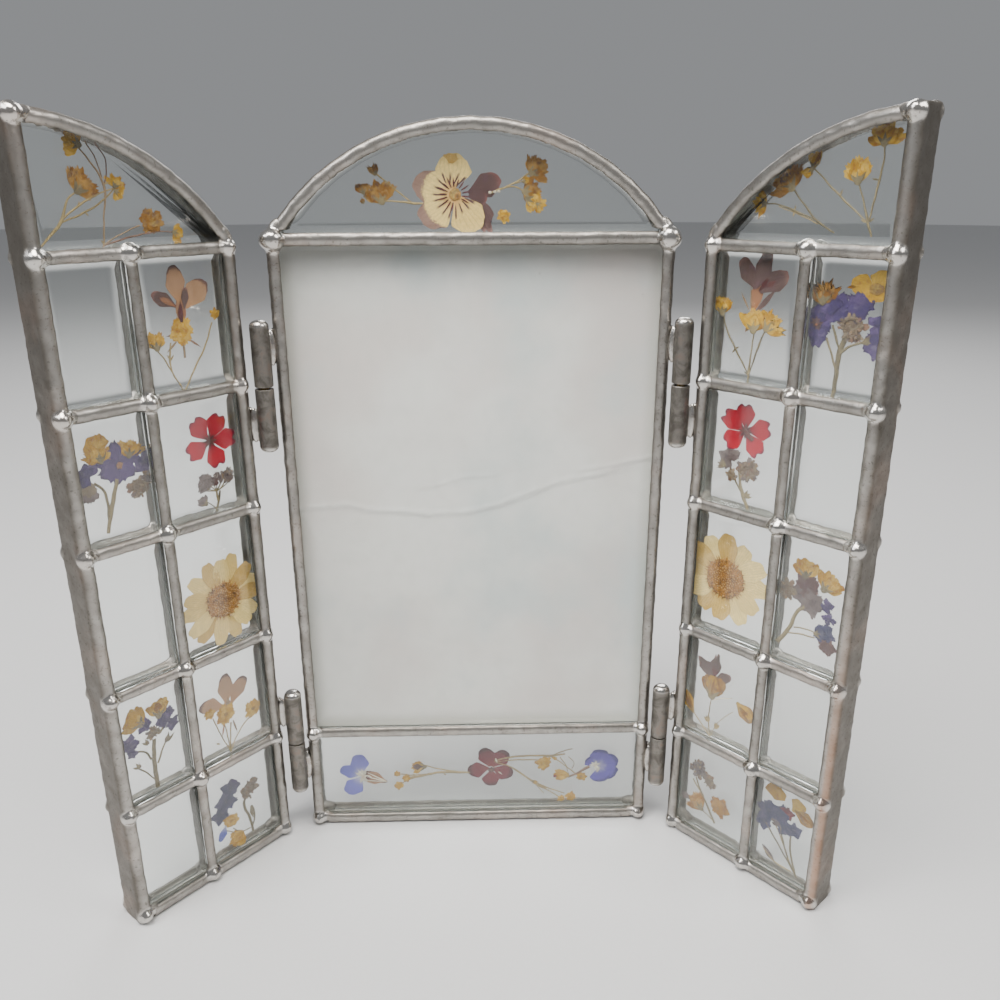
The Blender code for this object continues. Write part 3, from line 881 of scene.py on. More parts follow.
    def daisy(self, x, z, radius, count, disc, width):
        """Cream ray petals in two layers round a fuzzy disc of spiralled florets."""
        for step in range(count):
            around = 360.0 * step / count + self.vary(-4.0, 4.0)
            root = 0.55 * disc
            length = (radius - root) * self.vary(0.9, 1.05)
            at = away_from(x, z, root, math.radians(around))
            layer = 0.14 if step % 2 else 0.04
            self.petal("long", *at, around, length, width, "cream", layer, bend=self.vary(-0.1, 0.1))
        self.blob(x, z, 2.1 * disc, 2.0 * disc, "disc", -0.02, 0.3, tint=0.2)
        for step in range(FLORETS):
            spiral = math.sqrt(step / FLORETS)
            reach = disc * spiral * self.vary(0.94, 1.06)
            size = self.vary(0.45, 0.75)
            at = away_from(x, z, reach, step * GOLDEN_ANGLE)
            tint = 1.0 if 0.42 < spiral < 0.6 else self.vary(0.0, 0.9)
            material = "ochre" if spiral > 0.86 and step % 3 == 0 else "disc"
            turn = self.vary(0.0, 360.0)
            self.blob(*at, size, size, material, -0.17, 0.2, turn, tint, self.patterns.floret)
        for step in range(34):
            around = 360.0 * step / 34.0 + self.vary(-5.0, 5.0)
            at = away_from(x, z, 0.86 * disc, math.radians(around))
            self.petal("blade", *at, around, 0.34 * disc, 0.35, "disc", -0.1)

    def verbena(self, x, z, radius, turns):
        """Five notched red petals round a dark throat."""
        for step, around in enumerate(turns):
            at = away_from(x, z, 0.06 * radius, math.radians(around))
            length = radius * self.vary(0.93, 1.06)
            self.petal("heart", *at, around, length, 0.74 * radius, "red", 0.12 - 0.05 * step, 0.4)
        self.blob(x, z, 0.22 * radius, 0.2 * radius, "dark", -0.17, 0.14)
        for step in range(8):
            self.petal("blade", x, z, 45.0 * step, 0.3 * radius, 0.09 * radius, "dark", -0.19)

    def coil(self, x, z, radius, turns, material, start=0.0, sweep=1.0):
        """A fuzzy coil of crowded buds over a ragged mound of dry sepals."""
        self.blob(x, z, 1.5 * radius, 1.4 * radius, material, 0.1, 0.24, start)
        for step in range(int(9 * turns)):
            around = self.vary(0.0, 360.0)
            at = away_from(x, z, 0.35 * radius, math.radians(around))
            tone = self.chance.choice((material, "grey_fuzz", "brown"))
            self.petal("frilled", *at, around, 0.85 * radius, 0.5 * radius, tone, self.vary(0.0, 0.12))
        steps = int(20 * turns)
        for step in range(steps):
            share = step / (steps - 1.0)
            around = math.radians(start) + sweep * 2.0 * math.pi * turns * share
            at = away_from(x, z, radius * (0.86 - 0.7 * share) * self.vary(0.92, 1.08), around)
            size = radius * (0.44 - 0.16 * share) * self.vary(0.85, 1.2)
            self.blob(*at, size, size, material, -0.08, 0.36, math.degrees(around), pattern=self.patterns.bud)
            if step % 2 == 0:
                out = math.degrees(around) + self.vary(-30.0, 30.0)
                tone = "brown" if step % 4 else "fuzz"
                self.petal("frilled", *at, out, 0.4 * radius, 0.22 * radius, tone, -0.16)

    def sprig(self, x, z, height, width, material, turn=0.0, buds=9):
        """A branching stem with a bristly bud at each end; its foot is at x, z."""
        lean = math.radians(turn)
        fork = away_from(x, z, 0.38 * height, lean)
        self.stem("olive", 0.45, (x, z, 1.3), fork)
        for step in range(buds):
            share = 2.0 * step / (buds - 1.0) - 1.0
            reach = height * (0.98 - 0.28 * abs(share)) * self.vary(0.84, 1.0)
            tip = (x + 0.5 * width * share + reach * math.sin(lean), z + reach * math.cos(lean))
            middle = (0.5 * (fork[0] + tip[0]) + 0.12 * width * share,
                      0.45 * (fork[1] + tip[1]) + 0.1 * tip[1])
            self.stem("olive", 0.26, fork, middle, tip)
            size = self.vary(1.1, 1.7)
            self.blob(*tip, size, size * 1.15, material, -0.05, 0.4, 30.0 * share, pattern=self.patterns.bud)
            for sepal in range(3):
                around = 40.0 * share + self.vary(-55.0, 55.0)
                self.petal("frilled", *tip, around, size * 1.1, size * 0.7, "grey_fuzz", -0.12)

    def crumple(self, x, z, size, material, count=5, turn=0.0, spread=360.0, eye=None, kind="crumpled"):
        """A crumpled flower of broad dry petals, whole or seen from one side."""
        for step in range(count):
            around = turn + spread * (step / count - (0.0 if spread >= 360.0 else 0.5))
            around += self.vary(-12.0, 12.0)
            length = 0.55 * size * self.vary(0.85, 1.12)
            self.petal(kind, x, z, around, length, 0.47 * size, material, self.vary(-0.08, 0.12))
        for step in range(3):
            self.petal("frilled", x, z, self.vary(0.0, 360.0), 0.34 * size, 0.26 * size, material, -0.14, 0.0)
        if eye is not None:
            self.blob(x, z, 0.2 * size, 0.18 * size, eye, -0.18, 0.14)
            for step in range(7):
                self.petal("blade", x, z, 51.0 * step, 0.17 * size, 0.07 * size, eye, -0.2)

    def finish(self, room, arch=None):
        """Join everything in the pane into one piece and keep it inside the pane's room."""
        piece = join_all(self.parts, self.name)
        points = coordinates(piece.data) / MM
        points[:, 0] = np.clip(points[:, 0], room[0], room[1])
        points[:, 1] = np.clip(points[:, 1], -PRESSED_HALF, PRESSED_HALF)
        points[:, 2] = np.clip(points[:, 2], room[2], room[3])
        if arch is not None:
            away = points[:, [0, 2]] - np.array(arch[:2])
            reach = np.linalg.norm(away, axis=1)
            share = np.minimum(1.0, arch[2] / np.maximum(reach, 1e-6))
            points[:, 0] = arch[0] + away[:, 0] * share
            points[:, 2] = arch[1] + away[:, 1] * share
        set_coordinates(piece.data, points * MM)
        return settle(piece, self.space, "pressed_flowers")


# What lies in each pane. Every place is in millimetres in its leaf's own space.


def press_viola(at):
    at.each(at.stem, ("straw", 0.34, (-13.2, 164.9), (-17.5, 168.3), (-20.9, 171.1)),
            ("straw", 0.42, (-10, 164.7), (-13.2, 164.9, 1.5), (-17, 165.3), (-19.9, 165.3)),
            ("straw", 0.28, (-19.9, 165.3), (-22.6, 165.2), (-24, 166.6)))
    at.each(at.cup, (-21.2, 170.9, -14, 2.4, "ochre", 5, 32, "pointed"),
            (-19.9, 165, -14, 4.8, "ochre", 9, 54), (-24, 167, -10, 2.5, "ochre", 6, 50),
            (-24, 164.9, -35, 1.3, "ochre", 4, 30, "pointed"))
    at.each(at.stem, ("straw", 0.4, (4, 166.8), (9.3, 168.9), (12.5, 170.8, 1.2), (13.4, 171.4)),
            ("straw", 0.34, (4, 166.9), (8, 168.2), (10.6, 168), (11.7, 167.3)),
            ("straw", 0.24, (9.3, 168.9), (11.6, 169.4)))
    at.cup(13.2, 171, 60, 4, "ochre", 8, 62, "crumpled")
    at.tuft(15.6, 172.6, 3.6, "ochre", 10)
    at.each(at.cup, (11.5, 169.3, 70, 1.9, "golden", 5, 40),
            (11.7, 167.2, 88, 3.9, "ochre", 8, 60, "crumpled"), (12.4, 165.8, 120, 3.6, "golden", 7, 48),
            (14.7, 164.7, 130, 2.2, "golden", 5, 50))
    at.rosette(7.2, 162.1, 3.3, "golden", 7, 30)
    for along in (1, 2.1, 3):
        at.blob(3.2 + along, 167 + 0.1 * along, 0.7, 0.6, "white", -0.05, 0.3)
    at.each(at.petal, ("fan", -0.6, 166.9, 66, 7.8, 5.4, "mauve", 0.2, 0.3),
            ("crumpled", 1, 165.6, 158, 7.6, 5.6, "mauve", 0.15, 0.5),
            ("round", -0.6, 166.4, 100, 4.2, 3.4, "mauve", 0.1, 0.1),
            ("fan", -4.5, 167.2, 6, 8.2, 8, "viola", 0.08, 0.7),
            ("frilled", -4.4, 173.2, 8, 2.2, 3.2, "cream", 0, 0),
            ("fan", -4, 166.6, -72, 9.3, 7.4, "viola_edged", 0.04, 0.75),
            ("fan", -3.8, 166.2, -127, 9.4, 7.6, "viola_edged", 0, 0.7),
            ("fan", -3.7, 166.4, 146, 9, 8, "viola", -0.04, 0.55))
    at.each(at.blob, (-3.6, 166.7, 2.6, 2.8, "ochre", -0.1, 0.16, 20, 1),
            (-3, 166.4, 1.4, 1.6, "disc", -0.17, 0.14, 40, 0.5))
    for step in range(15):
        around = -168 + 20.5 * step
        lean = math.radians(around)
        near = (-3.7 + 1.7 * math.sin(lean), 166.6 + 1.7 * math.cos(lean))
        at.petal("blade", *near, around, at.vary(1.7, 2.6), 0.36, "dark", -0.14)


def press_low_pane(at):
    at.petal("blade", -25.6, 11.4, -94, 2.2, 0.9, "brown", 0.05)
    for around in (-68, -75, -82, -60):
        at.petal("round", -25.8, 11.5, around, 6.4, 2.6, "tan", 0.04)
    for around in (-60, -72, -84):
        at.petal("blade", -25.6, 11.4, around, 6.8, 0.34, "white", -0.06)
    at.each(at.petal, ("round", -32.6, 13.8, -6, 6.6, 5.2, "blue", 0.12, 0.8),
            ("round", -32.6, 13.8, -72, 6.2, 4.2, "blue", 0.06, 0.65),
            ("round", -32.6, 13, -142, 6.8, 5.4, "blue", 0, 0.75))
    for around in (-30, -8, -60, 20, 150, -160, 95):
        at.petal("pointed", -32.2, 13.4, around, 2.5, 1, "white", -0.14)
    at.petal("blade", -31.4, 13.2, 120, 1.6, 0.9, "dark", -0.2)
    at.each(at.stem,
            ("straw", 0.5, (-2.6, 13.8), (-5.9, 14, 1.4), (-11.5, 14, 1.3), (-17, 12.8, 1.2), (-20, 12.5)),
            ("straw", 0.34, (-4.6, 13.9), (-11, 15.2), (-14.6, 16.3)),
            ("straw", 0.28, (-12.5, 13.9), (-18, 13.3), (-22.2, 13.8)),
            ("straw", 0.28, (-16.5, 13), (-20.4, 11.4), (-21.8, 10.6)))
    at.cup(-14.8, 16.2, -92, 3.8, "golden", 6, 26)
    at.petal("round", -15.6, 16.3, -92, 2.6, 2, "mauve", -0.2, 0.6)
    at.each(at.rosette, (-22.8, 13.9, 1.9, "golden", 6), (-20.2, 12.4, 2.6, "golden", 7),
            (-22.4, 10, 3, "golden", 7, 20))
    for along in (-17.6, -13.2, -9.2):
        at.petal("blade", along, 13.3, -50, 1, 0.3, "straw", -0.1)
    at.each(at.stem,
            ("straw", 0.44, (4.4, 17.6), (8.6, 18.6, 1.2), (15, 19), (20.3, 18.9, 1.5), (24, 19.4)),
            ("straw", 0.34, (4.4, 17.2), (10, 17.7), (16.4, 17.6)),
            ("straw", 0.26, (20.3, 18.9), (23.4, 20.3), (26.1, 21)),
            ("straw", 0.3, (20.3, 18.6), (24, 15.6), (26.8, 13)),
            ("straw", 0.22, (22.6, 18.4), (24.2, 15.8), (25.2, 12.2)),
            ("straw", 0.18, (24.9, 18.4), (26.5, 16.6), (26, 14.4)))
    at.rosette(18.1, 16.6, 4.6, "golden", 8)
    at.petal("frilled", 20.3, 18.6, 120, 1.7, 1.1, "golden", -0.1)
    at.cup(25.2, 12.4, -88, 4.2, "golden", 6, 24, green=False)
    at.blob(21.2, 12.3, 0.9, 0.9, "wine", -0.1, 0.2)
    at.rosette(28.7, 12, 3.1, "golden", 7, eye="ochre")
    at.each(at.stem, ("straw", 0.4, (4.8, 17), (8, 15.9), (15.4, 10.3, 1.5), (18.8, 8.2)),
            ("straw", 0.3, (15.4, 10.3), (20, 8), (24, 6.4)),
            ("straw", 0.28, (16.4, 9.2), (20.4, 6.8), (22.4, 5.2)), ("straw", 0.2, (15.6, 10), (18.2, 6.4)))
    at.cup(15, 10.8, 128, 1.8, "golden", 4, 20, "pointed")
    at.each(at.rosette, (23.1, 4.8, 2.4, "golden", 6), (25.8, 5.4, 3.3, "golden", 7, 15))
    for around, size in ((-18, 6.2), (40, 6.4), (110, 5.8), (180, 5.2), (-98, 6)):
        lean = math.radians(around)
        root = (3.4 + 0.6 * math.sin(lean), 15.2 + 0.6 * math.cos(lean))
        at.petal("round", *root, around, size, 5, "wine", 0.1 - 0.0006 * around, 0.6)
    at.rosette(3.5, 14.8, 2, "mauve", 6, eye="tan", depth=-0.12)
    at.each(at.petal, ("blade", 4.6, 18.6, 160, 1.6, 0.4, "white", -0.2),
            ("blade", 5.4, 14.2, 130, 1.5, 0.35, "white", -0.2))
    at.stem("brown", 0.7, (24.9, 11.7), (27.8, 13.2), (30.9, 15.2, 1.3))
    for around, size in ((10, 5.6), (62, 6), (118, 6), (165, 5.2), (-30, 4)):
        at.petal("fan", 33.2, 15.2, around, size, 5.8, "deep_blue", 0.1 - 0.0012 * around, 0.6)
    for around in (-80, -40, 10, 60, 130, 170):
        at.petal("pointed", 32.4, 15.6, around, 1.7, 0.7, "white", -0.17)
    at.petal("pointed", 33, 13.5, 20, 2, 0.8, "white", -0.18)


def press_left_arch(at):
    at.each(at.stem, ("straw", 0.36, (-42.9, 158.2), (-38.4, 162.6, 1.9), (-36.6, 166.4), (-34.6, 168)),
            ("straw", 0.28, (-38.4, 162.6), (-34.8, 165.2, 1.6), (-28.6, 168), (-26.9, 168.5)),
            ("straw", 0.28, (-38.4, 162.3), (-33.6, 164, 1.6), (-29, 166.6), (-27, 168.4)))
    for spot in ((-34.8, 165.2, 20), (-33.6, 164, 140), (-28.9, 169.2, 70), (-30.6, 158, -40)):
        at.petal("blade", *spot, 1, 0.32, "straw", -0.05)
    at.each(at.stem,
            ("brown", 0.28, (-30.7, 157.2), (-29.9, 163), (-29, 168.8, 1.7), (-31.2, 173.4), (-33.2, 176)),
            ("brown", 0.22, (-29, 168.8), (-29.9, 173.6), (-31.6, 177)),
            ("brown", 0.22, (-29, 168.8), (-28, 172), (-28.2, 174.4), (-29.8, 176.8)))
    at.each(at.cup, (-34.7, 167.8, 42, 4.6, "ochre", 9, 58, "crumpled"),
            (-27, 168.6, 34, 2.6, "golden", 6, 66), (-27, 167.9, 112, 2.3, "golden", 6, 66),
            (-32.8, 176.2, -66, 3.6, "golden", 7, 58, "round"))
    at.each(at.stem, ("brown", 0.3, (-30.6, 157.9), (-26, 160), (-22.6, 161.2)),
            ("brown", 0.26, (-30.4, 157.8), (-25, 159, 1.5), (-18, 159.8), (-15.4, 159.6)))
    at.rosette(-20, 162, 5.2, "ochre", 11, 12)
    at.tuft(-19.6, 161.6, 4.2, "ochre", 14)
    at.cup(-15.4, 159.6, 108, 2.6, "golden", 6, 54, "round")


def press_left_panes(lay):
    at = lay("left_flowers_1_inner")
    at.each(at.stem, ("straw", 0.3, (-17.2, 126.3), (-18.9, 129.3), (-21, 133.6), (-22.3, 135.6)),
            ("straw", 0.26, (-17.9, 127.4), (-19.3, 130), (-19.6, 133, 1.7), (-18.9, 136.8)),
            ("straw", 0.3, (-16.6, 126.3), (-13.8, 130.6, 1.3), (-10.6, 135.2), (-8.4, 140)))
    at.each(at.petal, ("blade", -19.5, 133, -30, 1.6, 0.4, "straw", -0.05),
            ("blade", -19.5, 133, 34, 1.5, 0.4, "straw", -0.05))
    at.stem("brown", 0.6, (-15.9, 133), (-15.9, 138), (-15.6, 143, 1.6), depth=0.2)
    for root, around, length in (((-14.5, 137), 128, 3.6), ((-17.5, 136.8), -130, 3.4),
        ((-17, 138.4), -94, 2.9)):
        at.petal("blade", *root, around, length, 0.5, "brown", 0.2)
    for around in (-8, 0, 8):
        at.petal("blade", -15.6, 140.6, around, 5.4, 1.7, "tan", 0.15)
    at.each(at.petal, ("round", -15.7, 144.6, -6, 8.3, 4.6, "tan", 0.12, 0.8),
            ("fan", -14.5, 143.8, 44, 7.6, 5.4, "tan", 0.06, 0.9),
            ("round", -16.7, 144.2, -58, 6.2, 3.2, "mauve", 0.02, 0.8),
            ("round", -16.8, 144.3, -58, 4.4, 1.3, "tan", -0.04, 0.2),
            ("round", -14.8, 143.6, 9, 4.6, 1.8, "mauve", -0.05, 0.9),
            ("blade", -15.9, 140.8, 2, 4.4, 1.2, "dark", -0.12, 0.2))
    at.rosette(-16.1, 139.1, 6.6, "golden", 12, 100, depth=-0.05, squash=0.84)
    at.cup(-22.3, 135.7, -6, 3.9, "golden", 8, 40)
    at.rosette(-7.5, 141.7, 2.7, "golden", 6)

    at = lay("left_flowers_2_outer")
    at.each(at.stem, ("olive", 0.95, (-38.9, 98.6), (-37.3, 103.8, 1.2), (-36, 107.6), (-35.2, 110)),
            ("olive", 0.7, (-38.2, 101.6), (-38, 105.8), (-38.6, 108.4), (-40.2, 110.2)))
    at.each(at.coil, (-30.9, 107.2, 2.3, 1.5, "fuzz", 200, -1), (-28.4, 108.8, 1.5, 1, "grey_fuzz", 60))
    at.blob(-41.6, 108.8, 3.4, 4, "fuzz", 0.02, 0.3, -20)
    for around in (-160, -130, 170, 140):
        at.petal("frilled", -41.6, 108.8, around, 2.8, 1.8, "grey_fuzz", -0.06)
    at.crumple(-41.2, 112, 5.8, "violet", 4, -20, 220)
    for around, length, width in ((-8, 5.6, 3.6), (62, 5.8, 4.2), (132, 4.6, 4), (190, 4.4, 3.6),
        (-112, 5, 4), (-70, 6.4, 3.4)):
        at.petal("crumpled", -34.4, 112.9, around, length, width, "violet", at.vary(-0.05, 0.1), 0.8)
    at.crumple(-28.8, 112.2, 5.2, "violet", 5, 20)
    at.rosette(-34.3, 112.8, 1.9, "tan", 5, depth=-0.14, kind="pointed")
    at.cup(-38.2, 114.4, -6, 4.6, "golden", 8, 62, "crumpled")
    at.each(at.petal, ("fan", -38.6, 115.4, -4, 5, 5.6, "golden", -0.1, 0.3),
            ("crumpled", -38.4, 117.4, 10, 3, 3.6, "golden", -0.17, 0.6))
    at.cup(-32, 114.2, 12, 4, "golden", 8, 56)

    at = lay("left_flowers_2_inner")
    at.verbena(-12.5, 113.4, 6.7, (-32, 32, 94, 162, -113))
    at.each(at.stem, ("olive", 0.5, (-12.5, 96.3), (-11.6, 99, 1.2), (-11, 101)),
            ("olive", 0.24, (-12.4, 97), (-14.8, 99.2), (-16.4, 100.4)))
    at.sprig(-11.8, 98.6, 6.6, 7.2, "grey_fuzz", -4, 8)
    at.coil(-8.9, 104.4, 1.7, 1.2, "grey_fuzz", 30)
    at.crumple(-14.6, 103.8, 4.6, "grey_fuzz", 6, -30, kind="frilled")
    at.crumple(-12, 104.2, 3, "mauve", 4, 10, kind="frilled")
    at.cup(-15, 98.6, -40, 2.6, "grey_fuzz", 5, 36)

    at = lay("left_flowers_3_inner")
    at.daisy(-13.5, 73.6, 11.6, 15, 4.4, 4.3)

    at = lay("left_flowers_4_outer")
    at.each(at.stem, ("olive", 1.1, (-36.6, 32.7), (-36.5, 40, 1.1), (-35.8, 45.6)),
            ("olive", 0.4, (-37, 35.1), (-38.6, 37.6), (-40.3, 39.8)),
            ("olive", 0.5, (-37.1, 40.7), (-38.6, 43.6), (-40.8, 44.6)),
            ("olive", 0.4, (-35.7, 38.9), (-34.2, 41.8), (-32.4, 44.6)))
    for x, z, size, turn in ((-40.4, 40.6, 1.9, -40), (-32.6, 44.2, 2.6, 30), (-37.6, 45.6, 1.8, -30),
        (-34.4, 47, 1.9, 20)):
        at.blob(x, z, size * 0.7, size, "fuzz", 0, 0.4, turn, pattern=at.patterns.bud)
        at.each(at.petal, ("blade", x, z - 0.3 * size, turn - 20, size, 0.6, "olive", -0.1),
                ("blade", x, z - 0.3 * size, turn + 20, size, 0.6, "olive", -0.1))
    at.coil(-36, 47.4, 1.6, 1, "fuzz")
    for x, z, size in ((-41.8, 47.2, 4.4), (-33, 49.4, 4.2), (-30.9, 47.6, 3.6), (-37.6, 50.4, 3.8),
        (-31.4, 51, 3), (-41.4, 44.4, 2.6)):
        at.crumple(x, z, size, "violet", 5, at.vary(0, 70))
    at.cup(-38.2, 50.8, -44, 5, "golden", 8, 44, "round")
    at.petal("fan", -37.6, 51.2, -50, 5.2, 4.2, "golden", -0.14, 0.4)
    at.cup(-34, 50.9, 6, 4.6, "golden", 7, 40, "fan")
    at.petal("round", -34, 51.6, 4, 3, 2, "ochre", -0.17, 0.2)

    at = lay("left_flowers_4_inner")
    at.each(at.petal, ("round", -16, 45.4, 3, 8.6, 4.4, "tan", 0.14, 0.9),
            ("round", -14.8, 45.2, 38, 7.6, 4.4, "tan", 0.1, 0.7),
            ("round", -16.8, 45.4, -68, 7, 4.4, "tan", 0.12, 0.8),
            ("blade", -15.8, 43.4, 5, 4, 1.6, "brown", 0.05))
    for end in ((-20.2, 43.4), (-17.2, 40.8), (-9.6, 39.2), (-15.4, 40)):
        at.stem("straw", 0.3, (-16.4, 32), (0.45 * (-16.4 + end[0]) - 1.6, 36.4), end)
    at.each(at.petal, ("blade", -14.8, 40.4, 168, 4.2, 0.5, "brown", -0.02),
            ("blade", -17.4, 40.4, 196, 3.4, 0.5, "tan", -0.02),
            ("pointed", -19.2, 35.6, -60, 1.4, 0.5, "straw", -0.05))
    at.rosette(-16.6, 43.1, 5.6, "golden", 11, eye="ochre", depth=-0.05)
    at.each(at.rosette, (-20.9, 45.2, 3.2, "golden", 8), (-8.7, 41, 5.2, "golden", 10, 20, "ochre"))

    at = lay("left_flowers_5_inner")
    at.each(at.stem, ("olive", 0.75, (-12.6, 5), (-13.2, 9.6, 1.1), (-14.4, 14.6), (-13.6, 16.4)),
            ("olive", 0.4, (-12.8, 6.2), (-11.6, 9.4), (-12, 11.8)))
    at.petal("round", -12.2, 9, -2, 4, 1.5, "olive", 0.05)
    at.each(at.stem, ("olive", 0.26, (-16.6, 6.6), (-18.6, 8.2), (-20.6, 9.8)),
            ("olive", 0.3, (-13.4, 6.4), (-15.6, 6.6), (-18.4, 9.2)))
    at.coil(-12.2, 18.4, 2.6, 1.4, "fuzz", 190)
    at.each(at.crumple, (-17.9, 21.4, 5.2, "indigo", 5, 10), (-19.4, 18.2, 5.8, "indigo", 6, 40),
            (-21.4, 15.2, 5, "indigo", 5, 200))
    at.each(at.petal, ("round", -15.8, 20.6, -30, 4, 2.2, "violet", -0.1),
            ("round", -20.4, 11.4, -150, 4.4, 2.4, "blue", -0.05, 0.3))
    at.rosette(-18.7, 11.9, 5.2, "golden", 9, 30, depth=-0.05, squash=0.8)
    at.cup(-15.8, 6.8, -128, 4.4, "golden", 8, 50, green=False)


def press_right_arch(at):
    at.each(at.stem, ("olive", 0.32, (31, 159.4), (27.2, 161.4, 1.5), (23.6, 164.9), (20.8, 167.9)),
            ("olive", 0.3, (27.6, 161.4), (21.8, 163.4, 1.7), (17.8, 164.6), (14.9, 164.8)),
            ("straw", 0.2, (27.2, 161), (22, 163), (18, 164.2)))
    at.each(at.petal, ("blade", 21.8, 163.4, 10, 1.2, 0.36, "olive", -0.05),
            ("blade", 21.8, 163.2, 190, 1, 0.36, "straw", -0.05))
    at.cup(20.9, 167.7, -36, 5, "ochre", 9, 60, "crumpled")
    at.tuft(19.2, 169.8, 3.6, "mauve", 10)
    at.cup(14.9, 164.7, -84, 3.4, "golden", 7, 64, "pointed")
    at.each(at.stem, ("olive", 0.32, (38.8, 158.9), (37.7, 161.6, 1.6), (36.4, 165.4), (34.9, 169)),
            ("olive", 0.28, (37.7, 161.5), (31.4, 166.4, 1.5), (27.6, 169.6), (25.1, 171.8)),
            ("olive", 0.28, (37.9, 161.5), (39, 169.4, 1.6), (39.4, 173.4), (39.2, 176)))
    for spot in ((31.4, 166.4, 20), (37.5, 161.6, -70), (38, 161.6, 50), (38.9, 169.4, -80)):
        at.petal("blade", *spot, 1.4, 0.42, "olive", -0.05)
    at.each(at.cup, (34.9, 168.9, -8, 4.6, "golden", 9, 42, "frilled"),
            (25.1, 171.7, 8, 3.2, "golden", 5, 22, "round"),
            (25.1, 171.7, -126, 2.7, "golden", 5, 22, "round"))
    at.petal("blade", 25.3, 171.8, 20, 3.6, 0.9, "ochre", -0.17)
    at.cup(39.2, 175.7, -2, 4.2, "golden", 7, 68, "fan")


def press_right_panes(lay):
    at = lay("right_flowers_1_inner")
    at.each(at.stem, ("olive", 0.32, (14.4, 126.3), (14.3, 128, 1.7), (14.5, 133), (14.8, 137.8)),
            ("olive", 0.28, (14.3, 128), (10.4, 133.4, 1.6), (7.8, 137.4), (6.5, 141)),
            ("olive", 0.28, (14.4, 128), (16.2, 134.6, 1.6), (17.6, 138.6)))
    for spot in ((10.4, 133.4, 60), (10.4, 133.4, -150), (16.2, 134.6, 20), (14.3, 128, -60),
        (14.3, 128.2, 34)):
        at.petal("blade", *spot, 1.3, 0.4, "olive", -0.05)
    for around in (4, 12, 20):
        at.petal("blade", 13.9, 142.2, around, 7, 2, "tan", 0.14, 0.2)
    at.each(at.petal, ("blade", 15.2, 142.4, 40, 6.4, 1.3, "mauve", 0.1),
            ("round", 14.2, 146.9, -32, 7.6, 4, "mauve", 0.08, 0.9),
            ("round", 14.6, 147.2, 16, 8.2, 4, "mauve", 0.04, 1),
            ("fan", 15.4, 146.4, 56, 7.8, 4.6, "mauve", 0, 0.9),
            ("round", 15.2, 146.6, 36, 3.4, 1.1, "dark", -0.05),
            ("round", 16.6, 147.6, 64, 3, 1.2, "dark", -0.05),
            ("blade", 13, 142.4, -32, 4.4, 0.42, "brown", 0.1),
            ("blade", 13.6, 142.6, -6, 5.4, 0.36, "brown", 0.1),
            ("blade", 13.6, 139, -145, 2, 0.9, "brown", 0.15))
    at.each(at.cup, (14.7, 137.7, -4, 4.9, "golden", 8, 44, "round"),
            (17.7, 138.4, 36, 4.6, "golden", 10, 66, "pointed"))
    at.tuft(19.3, 140.2, 3.8, "golden", 12)
    at.cup(6.4, 140.9, -4, 3.9, "golden", 7, 40)

    at = lay("right_flowers_1_outer")
    at.stem("olive", 1.1, (34.9, 126.2), (35, 131), (35.2, 136, 1.2), (36.8, 140.4), depth=0.16)
    at.each(at.stem, ("olive", 0.55, (34.8, 132), (33.4, 135.2), (31.9, 138.4)),
            ("olive", 0.5, (35.1, 136.2), (34, 138.6), (33, 141.1)),
            ("olive", 0.6, (35.4, 135.6), (37.6, 137.4), (40.2, 138.4)))
    at.cup(40, 138.3, 70, 2.4, "olive", 5, 24, "pointed")
    at.coil(37.4, 141.4, 3, 1.3, "fuzz", 140)
    at.crumple(29.4, 141.4, 7.4, "violet", 6, 0, eye="mauve")
    at.each(at.crumple, (29.9, 138.6, 4.6, "violet", 4, 160, 200), (33.4, 144.4, 6.6, "violet", 6, 25),
            (38.6, 145.2, 6.4, "violet", 5, -30, 260), (42.4, 141.8, 4.4, "violet", 4, 120),
            (42.9, 138.2, 6.6, "violet", 6, 60))
    at.rosette(29.6, 140.9, 2.6, "mauve", 5, eye="tan", depth=-0.12, kind="pointed")
    at.cup(30.3, 145.4, 2, 4.9, "ochre", 10, 50, "pointed")
    at.each(at.petal, ("fan", 41.6, 147.4, 22, 5.6, 6, "golden", 0, 0.8),
            ("fan", 41.4, 148.6, -74, 5.6, 4.6, "golden", -0.04, 0.6),
            ("fan", 42, 149, 96, 3.6, 4.6, "golden", -0.08, 0.75),
            ("fan", 41.4, 149.6, 170, 3.2, 5, "golden", -0.1, 0.5),
            ("pointed", 37, 149.2, -100, 2, 0.7, "ochre", -0.1))
    at.blob(41.4, 149, 3, 2.4, "ochre", -0.17, 0.12)

    at = lay("right_flowers_2_inner")
    at.verbena(15.1, 115, 6.7, (-8, 75, 143, -127, -63))
    at.stem("dark", 1.2, (14.6, 115.6), (16, 114.2), (17.2, 113.2), depth=-0.2)
    at.each(at.stem, ("olive", 0.85, (17.3, 96.6), (15.8, 99.2, 1.3), (14.6, 102.6), (14.2, 105.2)),
            ("olive", 0.5, (15, 100.4), (13.4, 102.6), (12.2, 104)))
    for around in (20, 50, 75):
        at.petal("pointed", 16.2, 99.2, around, 2.2, 0.8, "olive", -0.05)
    at.each(at.coil, (16.3, 106, 2.7, 1.4, "fuzz", 30), (12.2, 103.9, 1.5, 1, "fuzz", 90))
    at.crumple(11.6, 107.6, 5.6, "grey_fuzz", 5, -40, 240)
    at.cup(10.4, 105.8, -80, 2.4, "fuzz", 5, 40, "pointed")

    at = lay("right_flowers_3_inner")
    at.daisy(12.9, 77.3, 12, 12, 5, 5.5)

